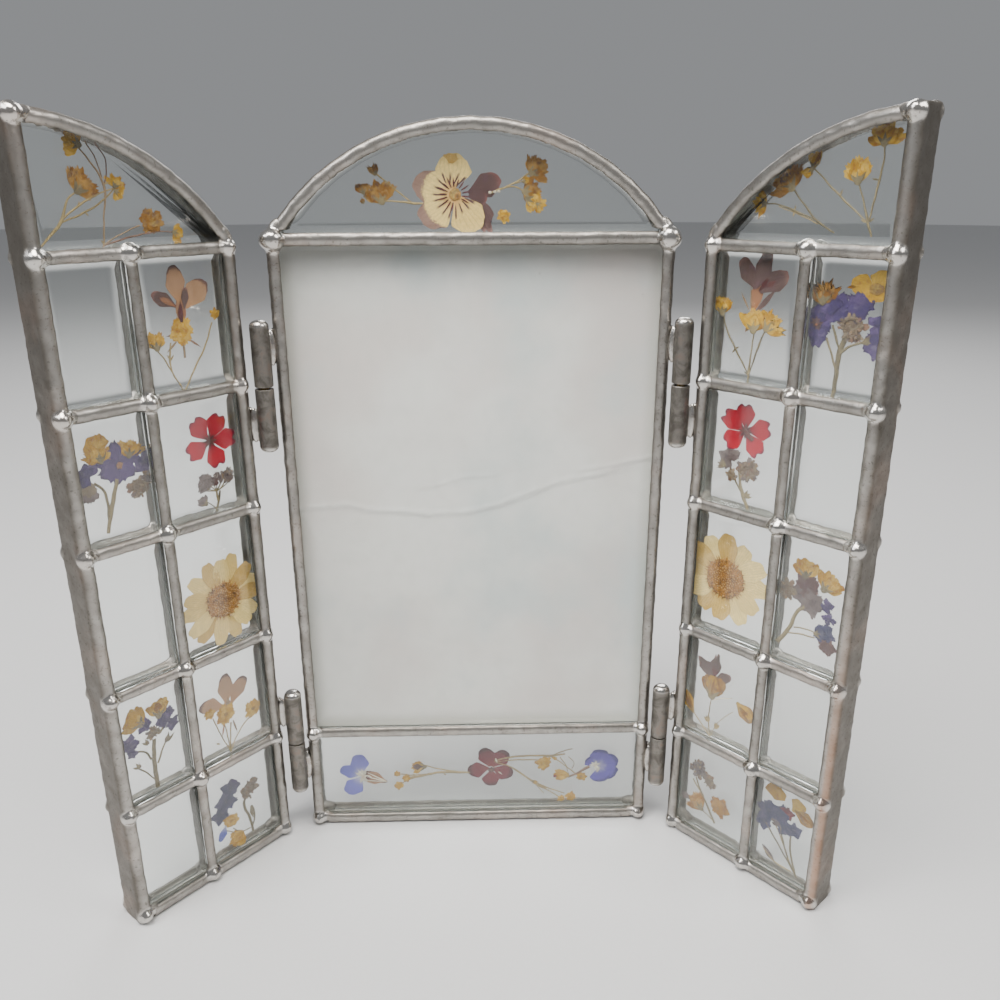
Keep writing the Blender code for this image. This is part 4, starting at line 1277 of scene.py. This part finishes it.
    at = lay("right_flowers_3_outer")
    at.stem("olive", 1, (28.5, 66), (31.2, 71, 1.1), (32.7, 75.6), (34.6, 77.4), depth=0.16)
    at.each(at.stem, ("olive", 0.32, (32.2, 71.2), (35, 71.8), (37.5, 71.7)),
            ("olive", 0.32, (30, 69), (33.6, 70), (37.4, 70.4)))
    at.coil(29.6, 80.2, 2.4, 1.4, "fuzz", 300, -1)
    at.each(at.crumple, (34.4, 82.6, 6.6, "mauve", 6, 10), (35.8, 78.6, 6.2, "grey_fuzz", 6, 40))
    at.crumple(32.4, 80, 4.2, "grey_fuzz", 5, 0, kind="frilled")
    at.each(at.crumple, (39.4, 79, 3.6, "violet", 4, 80), (40.4, 76, 3.2, "violet", 4, 10))
    at.cup(37.5, 71.6, 74, 3, "indigo", 6, 60)
    at.each(at.crumple, (39.8, 72.4, 5, "indigo", 5, 30), (40.6, 69.4, 4.6, "mauve", 5, 170))
    at.each(at.cup, (33.7, 84.4, -4, 4.8, "golden", 7, 52, "fan"),
            (38.2, 82.6, 34, 4.8, "golden", 7, 46, "fan"))

    at = lay("right_flowers_4_inner")
    at.each(at.petal, ("crumpled", 11.6, 49, -42, 6.2, 3.8, "mauve", 0.16, 1),
            ("crumpled", 12, 49.6, 6, 6.4, 3.6, "mauve", 0.14, 0.9),
            ("round", 12.6, 49, 62, 5, 3, "mauve", 0.12, 0.8))
    for around, length in ((-12, 3), (10, 2.6), (30, 2.6)):
        at.petal("pointed", 12.2, 49.8, around, length, 0.8, "dark", 0.02)
    at.cup(12, 43.6, 2, 6.4, "ochre", 9, 30, "round")
    at.petal("round", 12, 43.8, 0, 6, 3.6, "golden", -0.14, 0.2)
    for around in (-18, -6, 6, 18):
        at.petal("blade", 12, 44, around, 5.4, 0.8, "ochre", -0.18)
    at.stem("white", 0.3, (12.3, 42.9), (15, 44.4), (17.8, 45.7), depth=0)
    at.each(at.petal, ("round", 19.4, 45.4, 128, 6, 4.6, "ochre", 0, 0.9),
            ("round", 19.8, 45.2, 124, 4.8, 3, "golden", -0.08, 0.5),
            ("frilled", 20.4, 44.4, 130, 3.4, 1.8, "ochre", -0.14, 0.1),
            ("round", 7, 36.6, -32, 6.6, 3.6, "golden", 0, 0.4))
    for around in (-42, -32, -22):
        at.petal("blade", 7, 36.8, around, 5.8, 0.7, "ochre", -0.1)
    at.each(at.stem, ("straw", 0.28, (12.5, 32), (9.8, 34.2), (7, 36.7)),
            ("straw", 0.2, (12.4, 32.2), (11.6, 36.4, 1.6), (11.9, 43.4)),
            ("straw", 0.16, (12.6, 32.2), (14.2, 36.6), (18.4, 42)))
    at.each(at.cup, (11.5, 36, -14, 1.9, "straw", 4, 34, "pointed", False),
            (14, 35, 12, 1.9, "straw", 4, 24, "pointed", False))

    at = lay("right_flowers_5_inner")
    at.each(at.stem, ("olive", 0.5, (16.1, 6.4), (13.6, 10.4, 1.2), (11, 14.2), (9.3, 17.6)),
            ("olive", 0.34, (15.4, 7.4), (12, 12.6), (8.4, 16.6)),
            ("olive", 0.26, (15.6, 7), (12, 8.4), (9.8, 8.2)))
    at.each(at.coil, (10.2, 20.4, 2.7, 1.4, "grey_fuzz", 250), (13.6, 18.4, 1.9, 1.1, "fuzz", 90))
    at.petal("crumpled", 8, 10, -80, 3, 2.2, "grey_fuzz", 0.1)
    at.cup(12, 8.8, -54, 4.8, "ochre", 9, 54)
    at.rosette(17.2, 12.2, 6, "ochre", 12, 12)

    at = lay("right_flowers_5_outer")
    at.each(at.stem, ("olive", 0.42, (40.6, 4.2), (37.6, 8.8, 1.1), (35.8, 13), (34.6, 17)),
            ("olive", 0.42, (40.2, 4.8), (38, 11.6), (37.8, 16.4)),
            ("olive", 0.36, (39.6, 5.6), (34.4, 11.4), (30.8, 15.4)),
            ("straw", 0.28, (38, 8.2), (35.2, 13.4), (33, 17)),
            ("straw", 0.24, (39, 5.2), (34.4, 5.4), (30.8, 7.6)))
    at.petal("crumpled", 34.2, 5.4, -50, 4.6, 1.8, "grey_fuzz", 0.1)
    for x, z, size in ((31.2, 19.4, 5.6), (34.4, 19.8, 5.6), (30.2, 15.6, 4.6), (36, 17, 5),
        (38.6, 17.4, 4)):
        at.crumple(x, z, size, "indigo", 5, at.vary(0, 70))
    at.crumple(36.2, 21.2, 3.8, "wine", 5, 0)
    at.crumple(33.4, 17, 2.4, "grey_fuzz", 5, 0, kind="frilled")
    at.each(at.petal, ("fan", 32.6, 23.4, -10, 4.4, 5, "golden", 0.02, 0.3),
            ("fan", 32.8, 23.6, 30, 3.8, 3.6, "golden", -0.04, 0.5),
            ("fan", 37.6, 22.6, 34, 4.4, 4.6, "golden", 0, 0.8),
            ("fan", 38, 23.4, 112, 5.6, 4, "ochre", -0.05, 0.9),
            ("blade", 38.2, 23.4, 112, 5, 0.8, "ochre", -0.12, 0.1))


# Metal


def drop_at(x, depth, z, half, turn=0.0):
    """A rounded lump of solder; half holds its half sizes across, deep and high, in millimetres."""
    bpy.ops.mesh.primitive_uv_sphere_add(segments=20, ring_count=12, radius=MM)
    item = bpy.context.object
    size = Matrix.Diagonal((half[0], half[1], half[2], 1.0))
    place = Matrix.Translation((x * MM, depth * MM, z * MM))
    item.data.transform(place @ turn_in_pane(turn) @ size)
    item.matrix_world = Matrix.Identity(4)
    return item


def solder_joint(x, z, arms, share):
    """Drops on both faces where cames cross, with a skirt, and a neck along each arm's turn."""
    radius = settings().metal.drop / MM * share
    chance = random.Random(int(x * 31.0 + z * 7.0))
    parts = []
    for face in (-1.0, 1.0):
        half = [radius * chance.uniform(*reach) for reach in ((0.9, 1.06), (0.85, 1.0), (0.88, 1.02))]
        depth = face * (BALL_DEPTH + 0.5 * (share - 1.0))
        parts.append(drop_at(x, depth, z, half))
        parts.append(drop_at(x, face * SKIRT_DEPTH, z, (1.1 + 1.3 * share, 1.15, 1.1 + 1.3 * share)))
        for turn in arms:
            lean = math.radians(turn)
            middle = (x + 1.55 * math.sin(lean), z + 1.55 * math.cos(lean))
            parts.append(drop_at(middle[0], face * NECK_DEPTH, middle[1], (1.5, 1.3, 2.5), turn))
    return parts


def draw_in_balls(item, joints):
    """Bring the plain CAD balls in a copied came to each drop's own size."""
    points = coordinates(item.data) / MM
    for x, z, arms, share in joints:
        for face in (-1.0, 1.0):
            middle = np.array((x, face * BALL_DEPTH, z))
            away = points - middle
            near = np.abs(np.linalg.norm(away, axis=1) - CAD_BALL) < 0.06
            points[near] = middle + away[near] * min(share, 1.0) * 0.94
    set_coordinates(item.data, points * MM)


def paint_metal(item, joints, copper=None):
    """Brighten crowns and drops, before the piece leaves its flat space."""
    points = coordinates(item.data) / MM
    crown = 0.44 * ramp_up(np.abs(points[:, 1]), 3.5, 4.6)
    for x, z, arms, share in joints:
        for face in (-1.0, 1.0):
            away = points - np.array((x, face * BALL_DEPTH, z))
            near = 1.0 - ramp_up(np.linalg.norm(away, axis=1), 2.1 * share, 1.0 + 2.1 * share)
            crown = np.maximum(crown, 0.95 * near)
    set_attribute(item.data, "shine", crown)
    share = np.zeros(len(points))
    if copper is not None:
        x, start, end = copper
        share = 0.5 * (1.0 - ramp_up(points[:, 2], start, end))
        share *= 1.0 - ramp_up(np.abs(points[:, 0] - x), 0.3, 1.1)
        share *= ramp_up(-points[:, 1], 2.0, 4.0)
    set_attribute(item.data, "copper", share)


def flow_solder(item, keep, grain, steps, lumps):
    """Melt a joined shape into one skin, let it sag and lump, and thin its faces."""
    cloud = bpy.data.textures.get("solder_lumps")
    if cloud is None:
        cloud = bpy.data.textures.new("solder_lumps", "CLOUDS")
        cloud.noise_scale = 2.6 * MM
        cloud.noise_depth = 2
    melt = item.modifiers.new("Melt", "REMESH")
    melt.mode = "VOXEL"
    melt.voxel_size = grain
    sag = item.modifiers.new("Sag", "SMOOTH")
    sag.factor = 0.5
    sag.iterations = steps
    lump = item.modifiers.new("Lumps", "DISPLACE")
    lump.texture = cloud
    lump.texture_coords = "LOCAL"
    lump.strength = lumps
    lump.mid_level = 0.5
    thin = item.modifiers.new("Thin", "DECIMATE")
    thin.ratio = keep
    apply_modifiers(item)
    bpy.ops.object.shade_smooth()


def make_came(name, space, nodes, joints, material, keep=0.4, extra=(), copper=None):
    """One soldered piece that stands for CAD cames, with the drops of its joints."""
    parts = [lay_copy(node, name, space) for node in nodes]
    for part in parts:
        draw_in_balls(part, joints)
    for joint in joints:
        parts += solder_joint(*joint)
    for x, z, turn in extra:
        for face in (-1.0, 1.0):
            parts.append(drop_at(x, face * SKIRT_DEPTH, z, (1.55, 1.2, 2.6), turn))
        parts.append(drop_at(x, 0.0, z, (1.3, 3.2, 1.6), turn))
    item = join_all(parts, name)
    flow_solder(item, keep, settings().metal.grain, 6, settings().metal.lumps)
    paint_metal(item, joints, copper)
    clothe(item, material)
    return settle(item, space, "solder", *nodes)


def spin_tube(parting, direction):
    """A hinge tube with a bore at the parting line and a domed far end, standing on its axis."""
    reach = BARREL_HALF - PARTING
    low = parting + direction * PARTING
    middle = low + 0.5 * direction * (reach - 1.3)
    deselect_all()
    bpy.ops.mesh.primitive_cylinder_add(
        vertices=48, radius=BARREL_RADIUS * MM, depth=(reach - 1.3) * MM, end_fill_type="NGON",
        location=(0.0, 0.0, middle * MM))
    item = bpy.context.object
    bake_place(item)
    for end, steps in ((direction, ((0.2, 0.55), (0.5, 0.5), (0.75, 0.25))), (-direction, ((0.85, 0.0),))):
        bpy.ops.object.mode_set(mode="EDIT")
        bpy.ops.mesh.select_all(action="DESELECT")
        bpy.ops.object.mode_set(mode="OBJECT")
        tops = [face for face in item.data.polygons if face.normal.z * end > 0.9 and len(face.vertices) > 4]
        for face in tops:
            face.select = True
        bpy.ops.object.mode_set(mode="EDIT")
        bpy.ops.mesh.select_mode(type="FACE")
        for thickness, height in steps:
            bpy.ops.mesh.inset(thickness=thickness * MM, depth=height * MM)
        if end == -direction:
            bpy.ops.mesh.extrude_region_move(
                TRANSFORM_OT_translate={"value": (0.0, 0.0, direction * BORE_DEPTH * MM)})
        bpy.ops.object.mode_set(mode="OBJECT")
    return item


def make_barrel(name, node, space, parting, direction, reach, material):
    """A tube soldered to its stile; reach is the side on which the stile lies."""
    tube = spin_tube(parting, direction)
    parts = [tube]
    middle = parting + direction * 8.9
    plate_x = reach * (STILE_FROM_AXIS - 2.5)
    deselect_all()
    bpy.ops.mesh.primitive_cube_add(size=MM, location=(plate_x * MM, 3.3 * MM, middle * MM))
    plate = bpy.context.object
    plate.scale = (1.2, 3.3, 7.2)
    bake_place(plate)
    parts.append(plate)
    for depth, wide in ((2.2, 1.15), (3.4, 1.0), (4.4, 0.85)):
        seam = drop_at(reach * 2.0, depth, middle, (wide, 0.95, 4.3))
        parts.append(seam)
    item = join_all(parts, name)
    flow_solder(item, 0.5, 0.2 * MM, 5, 0.12 * MM)
    points = coordinates(item.data) / MM
    far = ramp_up(direction * (points[:, 2] - parting), 13.6, 15.0)
    seam = ramp_up(reach * points[:, 0], 1.2, 2.2) * ramp_up(points[:, 1], 0.6, 2.0)
    set_attribute(item.data, "shine", 0.75 * np.maximum(far, seam))
    clothe(item, material)
    return settle(item, space, "barrels", node)


# Glass and paper


def mark_edge_stain_and_shade(item):
    """Mark how near each point lies to the outline of its sheet, for stains and painted shade at its edges.
    """
    points = coordinates(item.data)
    low = points.min(axis=0)
    high = points.max(axis=0)
    gaps = np.minimum(points - low, high - points)
    near = np.minimum(gaps[:, 0], gaps[:, 2])
    set_attribute(item.data, "edge", 1.0 - ramp_up(near, 0.8 * MM, 4.5 * MM))


def cut_sheet(node, name, space, front, back, material, slot_name="flower_panes", replaced=True):
    """One glass sheet with ground corners, from a CAD pane's outline and two depths in millimetres."""
    item = lay_copy(node, name, space)
    points = coordinates(item.data)
    middle = 0.5 * (points[:, 1].min() + points[:, 1].max())
    points[:, 1] = np.where(points[:, 1] < middle, front * MM, back * MM)
    set_coordinates(item.data, points)
    select_only(item)
    bpy.ops.object.mode_set(mode="EDIT")
    bpy.ops.mesh.select_all(action="SELECT")
    bpy.ops.mesh.dissolve_limited(angle_limit=math.radians(1.0))
    bpy.ops.mesh.select_all(action="DESELECT")
    bpy.ops.object.mode_set(mode="OBJECT")
    for face in item.data.polygons:
        face.select = abs(face.normal.y) > 0.9
    bpy.ops.object.mode_set(mode="EDIT")
    bpy.ops.mesh.select_mode(type="FACE")
    bpy.ops.mesh.inset(thickness=2.2 * MM, use_individual=True)
    bpy.ops.object.mode_set(mode="OBJECT")
    near = np.ones(len(item.data.vertices))
    for face in item.data.polygons:
        if face.select:
            near[list(face.vertices)] = 0.0
    set_attribute(item.data, "edge", near)
    ground = item.modifiers.new("Ground", "BEVEL")
    ground.width = settings().glass.bevel
    ground.segments = 2
    ground.limit_method = "ANGLE"
    ground.angle_limit = math.radians(50.0)
    apply_modifiers(item)
    bpy.ops.object.shade_smooth_by_angle(angle=math.radians(30.0))
    clothe(item, material)
    return settle(item, space, slot_name, *([node] if replaced else []))


def crease_lines():
    """Folds of the sheet: points in millimetres and each fold's strength."""
    return (
        (((-44.4, 92.6), (-36.2, 93.0), (-31.9, 93.5), (-25.8, 91.8), (-18.9, 91.5), (-11.4, 90.6),
          (-1.4, 91.2), (6.2, 93.0)), 1.0),
        (((6.2, 93.0), (12.0, 95.4), (18.6, 98.1), (26.0, 100.0), (33.0, 101.0)), 0.8),
        (((-11.2, 98.0), (-2.5, 100.5), (3.7, 100.7)), 0.5),
        (((26.0, 102.0), (33.4, 102.9), (40.8, 104.4), (46.2, 106.1)), 0.6),
        (((-42.6, 91.0), (-41.0, 87.0), (-39.8, 84.2)), 0.5),
    )


def away_from_line(points, line):
    """Distance in millimetres from each point to a broken line, and which side it lies on."""
    nearest = np.full(len(points), 1e9)
    side = np.zeros(len(points))
    for start, end in zip(line, line[1:]):
        a = np.array(start)
        run = np.array(end) - a
        offset = points - a
        share = np.clip(offset @ run / (run @ run), 0.0, 1.0)
        gap = offset - share[:, None] * run
        distance = np.linalg.norm(gap, axis=1)
        closer = distance < nearest
        nearest = np.where(closer, distance, nearest)
        side = np.where(closer, np.sign(run[0] * offset[:, 1] - run[1] * offset[:, 0]), side)
    return nearest, side


def lay_paper(material):
    low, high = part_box("picture_paper")
    deselect_all()
    bpy.ops.mesh.primitive_grid_add(x_subdivisions=130, y_subdivisions=190, size=1.0)
    item = bpy.context.object
    item.name = "picture_sheet"
    for vertex in item.data.vertices:
        share_x = vertex.co.x + 0.5
        share_z = vertex.co.y + 0.5
        vertex.co = (low.x + share_x * (high.x - low.x), 0.0, low.z + share_z * (high.z - low.z))
    points = coordinates(item.data).astype(float)
    flat = points[:, [0, 2]] / MM
    jitter = np.array([noise.noise(Vector((x * 0.55, z * 0.55, 2.0))) for x, z in flat])
    lift = np.array([noise.noise(Vector((x * 0.05, z * 0.05, 6.0))) for x, z in flat]) * 0.09
    fold = np.zeros(len(flat))
    wobbly = flat + np.stack((jitter, -jitter), axis=1) * 0.5
    for line, strength in crease_lines():
        distance, side = away_from_line(wobbly, line)
        ridge = np.exp(-(distance / 0.55) ** 2)
        slope = side * np.exp(-distance / 3.0) * 0.5
        lift -= strength * settings().paper.crease / MM * (ridge + slope)
        fold = np.maximum(fold, strength * ridge * np.clip(0.75 + 1.2 * jitter, 0.0, 1.0))
    points[:, 1] = (low.y + high.y) / 2.0 + np.clip(lift, -0.22, 0.2) * MM
    set_coordinates(item.data, points)
    set_attribute(item.data, "fold", fold)
    mark_edge_stain_and_shade(item)
    wall = item.modifiers.new("Sheet", "SOLIDIFY")
    wall.thickness = 0.1 * MM
    wall.offset = 0.0
    apply_modifiers(item)
    bpy.ops.object.shade_smooth_by_angle(angle=math.radians(50.0))
    clothe(item, material)
    settle(item, spaces["center"], "paper", "picture_paper")


# Operators


class SolderCames(bpy.types.Operator):
    """Melt the cames of all three leaves into lumpy solder with drops at their joints"""

    bl_idname = "flower_frame.solder_cames"
    bl_label = "Solder the Cames"

    def execute(self, context):
        metal = solder_material()
        centre = spaces["center"]
        lean = math.degrees(math.atan2(*ARCH_RUN))
        for side, side_name in ((-1.0, "left"), (1.0, "right")):
            x = side * CENTRE_STILE
            inward = -90.0 * side
            joints = [(x, height, (inward,), share) for height, share in zip(CENTRE_RAILS, (1.3, 0.9))]
            joints.append((x, FOOT, (inward,), 0.8))
            extra = [(x - side * 0.7, CENTRE_RAILS[0] + 2.4, side * lean)]
            node = "center_stile_" + side_name
            make_came(node + "_solder", centre, [node], joints, metal, extra=extra)
        for node in ("center_arch", "center_top_rail", "center_lower_rail", "center_bottom_rail"):
            make_came(node + "_solder", centre, [node], [], metal, keep=0.42)
        for side, side_name in ((-1.0, "left"), (1.0, "right")):
            space = spaces[side_name + "_door"]
            self.make_door(side, side_name + "_", space, metal, lean)
        return {"FINISHED"}

    def make_door(self, side, prefix, space, metal, lean):
        inner = side * DOOR_STILES[0]
        outer = side * DOOR_STILES[1]
        heights = DOOR_RAILS + (FOOT,)
        joints = [(inner, height, (90.0 * side,), 0.7) for height in heights]
        extra = [(inner + side * 0.7, DOOR_RAILS[0] + 2.6, -side * lean)]
        node = prefix + "door_inner_stile"
        make_came(node + "_solder", space, [node], joints, metal, extra=extra)
        joints = [(outer, height, (-90.0 * side,), 0.8) for height in heights]
        joints.append((outer, DOOR_TOP, (-87.0 * side,), 0.8))
        copper = (outer + 0.7, 30.0, 95.0) if side > 0.0 else None
        node = prefix + "door_outer_stile"
        make_came(node + "_solder", space, [node], joints, metal, copper=copper)
        make_came(prefix + "door_arch_solder", space, [prefix + "door_arch"], [], metal, keep=0.42)
        foot = [(side * DOOR_MULLION, FOOT, (0.0,), 0.85)]
        make_came(prefix + "door_bottom_rail_solder", space, [prefix + "door_bottom_rail"], foot, metal)
        crossings = [(side * DOOR_MULLION, height, (), 0.94) for height in DOOR_RAILS]
        node = prefix + "door_lattice"
        make_came(node + "_solder", space, [node], crossings, metal, keep=0.3)


class FitHinges(bpy.types.Operator):
    """Make the four pairs of soldered hinge tubes and finish their pins"""

    bl_idname = "flower_frame.fit_hinges"
    bl_label = "Fit the Hinges"

    def execute(self, context):
        tube = tube_material()
        wire = pin_material()
        for side, side_name in ((-1.0, "left"), (1.0, "right")):
            fixed = spaces[side_name + "_fixed_axis"]
            door = spaces[side_name + "_door_axis"]
            for level, height, up in (("upper", UPPER_HINGE, 1.0), ("lower", LOWER_HINGE, -1.0)):
                label = side_name + "_" + level
                frame_node = label + "_barrel_frame"
                door_node = label + "_barrel_door"
                make_barrel(frame_node + "_tube", frame_node, fixed, height, up, -side, tube)
                make_barrel(door_node + "_tube", door_node, door, height, -up, side, tube)
                clothe(frame["nodes"][label + "_hinge_pin"], wire)
        return {"FINISHED"}


class GlazeLeaves(bpy.types.Operator):
    """Cut two glass sheets for every flower pane and one for the picture"""

    bl_idname = "flower_frame.glaze_leaves"
    bl_label = "Glaze the Leaves"

    def execute(self, context):
        glass = glass_material("flower_pane_glass")
        clear = glass_material("picture_glass")
        centre = spaces["center"]
        sheets = (("front", -SHEET_OUTER, -SHEET_INNER), ("back", SHEET_INNER, SHEET_OUTER))
        for pane in ("lunette_glass_", "lower_glass_"):
            for label, front, back in sheets:
                cut_sheet(pane + label, pane + label + "_sheet", centre, front, back, glass)
        front, back = sheets[0][1:]
        cut_sheet("picture_glass", "picture_glass_sheet", centre, front, back, clear, "pane_glass")
        for side_name in ("left", "right"):
            space = spaces[side_name + "_door"]
            panes = [node for node in sorted(frame["nodes"]) if node.startswith(side_name + "_pane")]
            for node in panes:
                slot_name = "pane_glass" if node in EMPTY_PANES else "flower_panes"
                for label, front, back in sheets:
                    name = node + "_" + label
                    cut_sheet(node, name, space, front, back, glass, slot_name, label == "front")
        return {"FINISHED"}


class LayPicture(bpy.types.Operator):
    """Lay the creased blank paper and finish the backing card"""

    bl_idname = "flower_frame.lay_picture"
    bl_label = "Lay Paper and Card"

    def execute(self, context):
        lay_paper(paper_material())
        clothe(frame["nodes"]["backing_card"], board_material())
        return {"FINISHED"}


def pane_room(name):
    """Where petals may lie in a pane: its sides, foot and top, and its arch's centre and radius."""
    if name == "lunette_flowers":
        return (-43.6, 43.6, 158.3, 182.0), (0.0, ARCH_CENTRE, ARCH_ROOM)
    if name == "low_pane_flowers":
        return (-43.9, 43.9, 2.4, 28.2), None
    side = -1.0 if name.startswith("left") else 1.0
    if name.endswith("arch"):
        near, far, low, high = 4.6, 45.0, 157.1, 182.0
        arch = (side * 48.5, ARCH_CENTRE, ARCH_ROOM)
    else:
        row = int(name.split("_")[2])
        near, far = (4.4, 25.9) if name.endswith("inner") else (27.9, 45.2)
        low = (DOOR_RAILS + (1.7,))[row] + 1.0
        high = DOOR_RAILS[row - 1] - 1.0
        arch = None
    return (min(side * near, side * far), max(side * near, side * far), low, high), arch


class PressFlowers(bpy.types.Operator):
    """Press the dried flowers of every pane between its sheets"""

    bl_idname = "flower_frame.press_flowers"
    bl_label = "Press the Flowers"

    def execute(self, context):
        patterns = Patterns()
        palette = mix_palette()
        pressed = []

        def lay(name, space):
            at = Pressing(name, space, patterns, palette, len(pressed) + 1)
            pressed.append(at)
            return at

        press_viola(lay("lunette_flowers", spaces["center"]))
        press_low_pane(lay("low_pane_flowers", spaces["center"]))
        press_left_arch(lay("left_flowers_arch", spaces["left_door"]))
        press_left_panes(lambda name: lay(name, spaces["left_door"]))
        press_right_arch(lay("right_flowers_arch", spaces["right_door"]))
        press_right_panes(lambda name: lay(name, spaces["right_door"]))
        for at in pressed:
            at.finish(*pane_room(at.name))
        patterns.clear()
        return {"FINISHED"}


def area_lamp(name, place, target, size, power, colour):
    lamp = bpy.data.lights.new(name, "AREA")
    lamp.shape = "RECTANGLE"
    lamp.size = size[0]
    lamp.size_y = size[1]
    lamp.energy = power
    lamp.color = colour
    item = bpy.data.objects.new(name, lamp)
    bpy.context.collection.objects.link(item)
    item.location = place
    item.rotation_euler = (Vector(target) - Vector(place)).to_track_quat("-Z", "Y").to_euler()
    return item


class SetStage(bpy.types.Operator):
    """Lay a plain pale floor, hang soft lamps and set up the camera"""

    bl_idname = "flower_frame.set_stage"
    bl_label = "Set the Stage"

    def execute(self, context):
        light = settings().light
        deselect_all()
        bpy.ops.mesh.primitive_circle_add(vertices=96, radius=4.0, fill_type="NGON")
        floor = bpy.context.object
        floor.name = "studio_floor"
        clothe(floor, floor_material())
        world = bpy.data.worlds.new("studio_world")
        world.use_nodes = True
        sky = world.node_tree.nodes["Background"]
        sky.inputs["Color"].default_value = (0.8, 0.82, 0.85, 1.0)
        sky.inputs["Strength"].default_value = light.sky
        context.scene.world = world
        middle = (0.0, 0.0, 0.09)
        area_lamp("overhead_lamp", (-0.12, -0.22, 0.75), middle, (0.5, 0.35), light.key, (1.0, 0.97, 0.93))
        area_lamp("left_lamp", (-0.66, -0.38, 0.72), middle, (0.4, 0.4), light.side, (0.95, 0.97, 1.0))
        area_lamp("right_lamp", (0.66, -0.3, 0.72), middle, (0.4, 0.4), light.side, (1.0, 0.98, 0.95))
        area_lamp("rear_lamp", (0.1, 0.8, 0.6), middle, (0.6, 0.3), light.side, (1.0, 1.0, 1.0))
        view = bpy.data.cameras.new("studio_camera")
        view.lens = CAMERA_LENS
        view.sensor_width = 36.0
        view.clip_start = 0.01
        view.clip_end = 20.0
        camera = bpy.data.objects.new("studio_camera", view)
        bpy.context.collection.objects.link(camera)
        camera.location = [value * MM for value in CAMERA_PLACE]
        camera.rotation_euler = [math.radians(turn) for turn in CAMERA_TURN]
        context.scene.camera = camera
        return {"FINISHED"}


class FlowerFramePanel(bpy.types.Panel):
    """Sidebar panel with the frame's settings and steps"""

    bl_idname = "VIEW3D_PT_flower_frame"
    bl_label = "Pressed Flower Frame"
    bl_space_type = "VIEW_3D"
    bl_region_type = "UI"
    bl_category = "Flower Frame"

    def draw(self, context):
        layout = self.layout
        chosen = context.scene.flower_frame
        for label, group in (("Metal", chosen.metal), ("Glass", chosen.glass), ("Paper", chosen.paper),
                             ("Flowers", chosen.flowers), ("Light", chosen.light)):
            box = layout.box()
            box.label(text=label)
            for name in group.bl_rna.properties.keys():
                if name not in ("rna_type", "name"):
                    box.prop(group, name)
        for step in STEPS:
            layout.operator(step.bl_idname)


STEPS = (SolderCames, FitHinges, GlazeLeaves, LayPicture, PressFlowers, SetStage)
CLASSES = (MetalFinish, GlassFinish, PaperFinish, FlowerFinish, StudioLight, FlowerFrameSettings) + STEPS + (
    FlowerFramePanel,)


def register():
    for each in CLASSES:
        bpy.utils.register_class(each)
    bpy.types.Scene.flower_frame = PointerProperty(type=FlowerFrameSettings)


def unregister():
    del bpy.types.Scene.flower_frame
    for each in reversed(CLASSES):
        bpy.utils.unregister_class(each)


def main():
    register()
    bpy.ops.flower_frame.solder_cames()
    bpy.ops.flower_frame.fit_hinges()
    bpy.ops.flower_frame.glaze_leaves()
    bpy.ops.flower_frame.lay_picture()
    bpy.ops.flower_frame.press_flowers()
    bpy.ops.flower_frame.set_stage()
    bpy.context.view_layer.update()


if __name__ == "__main__":
    main()
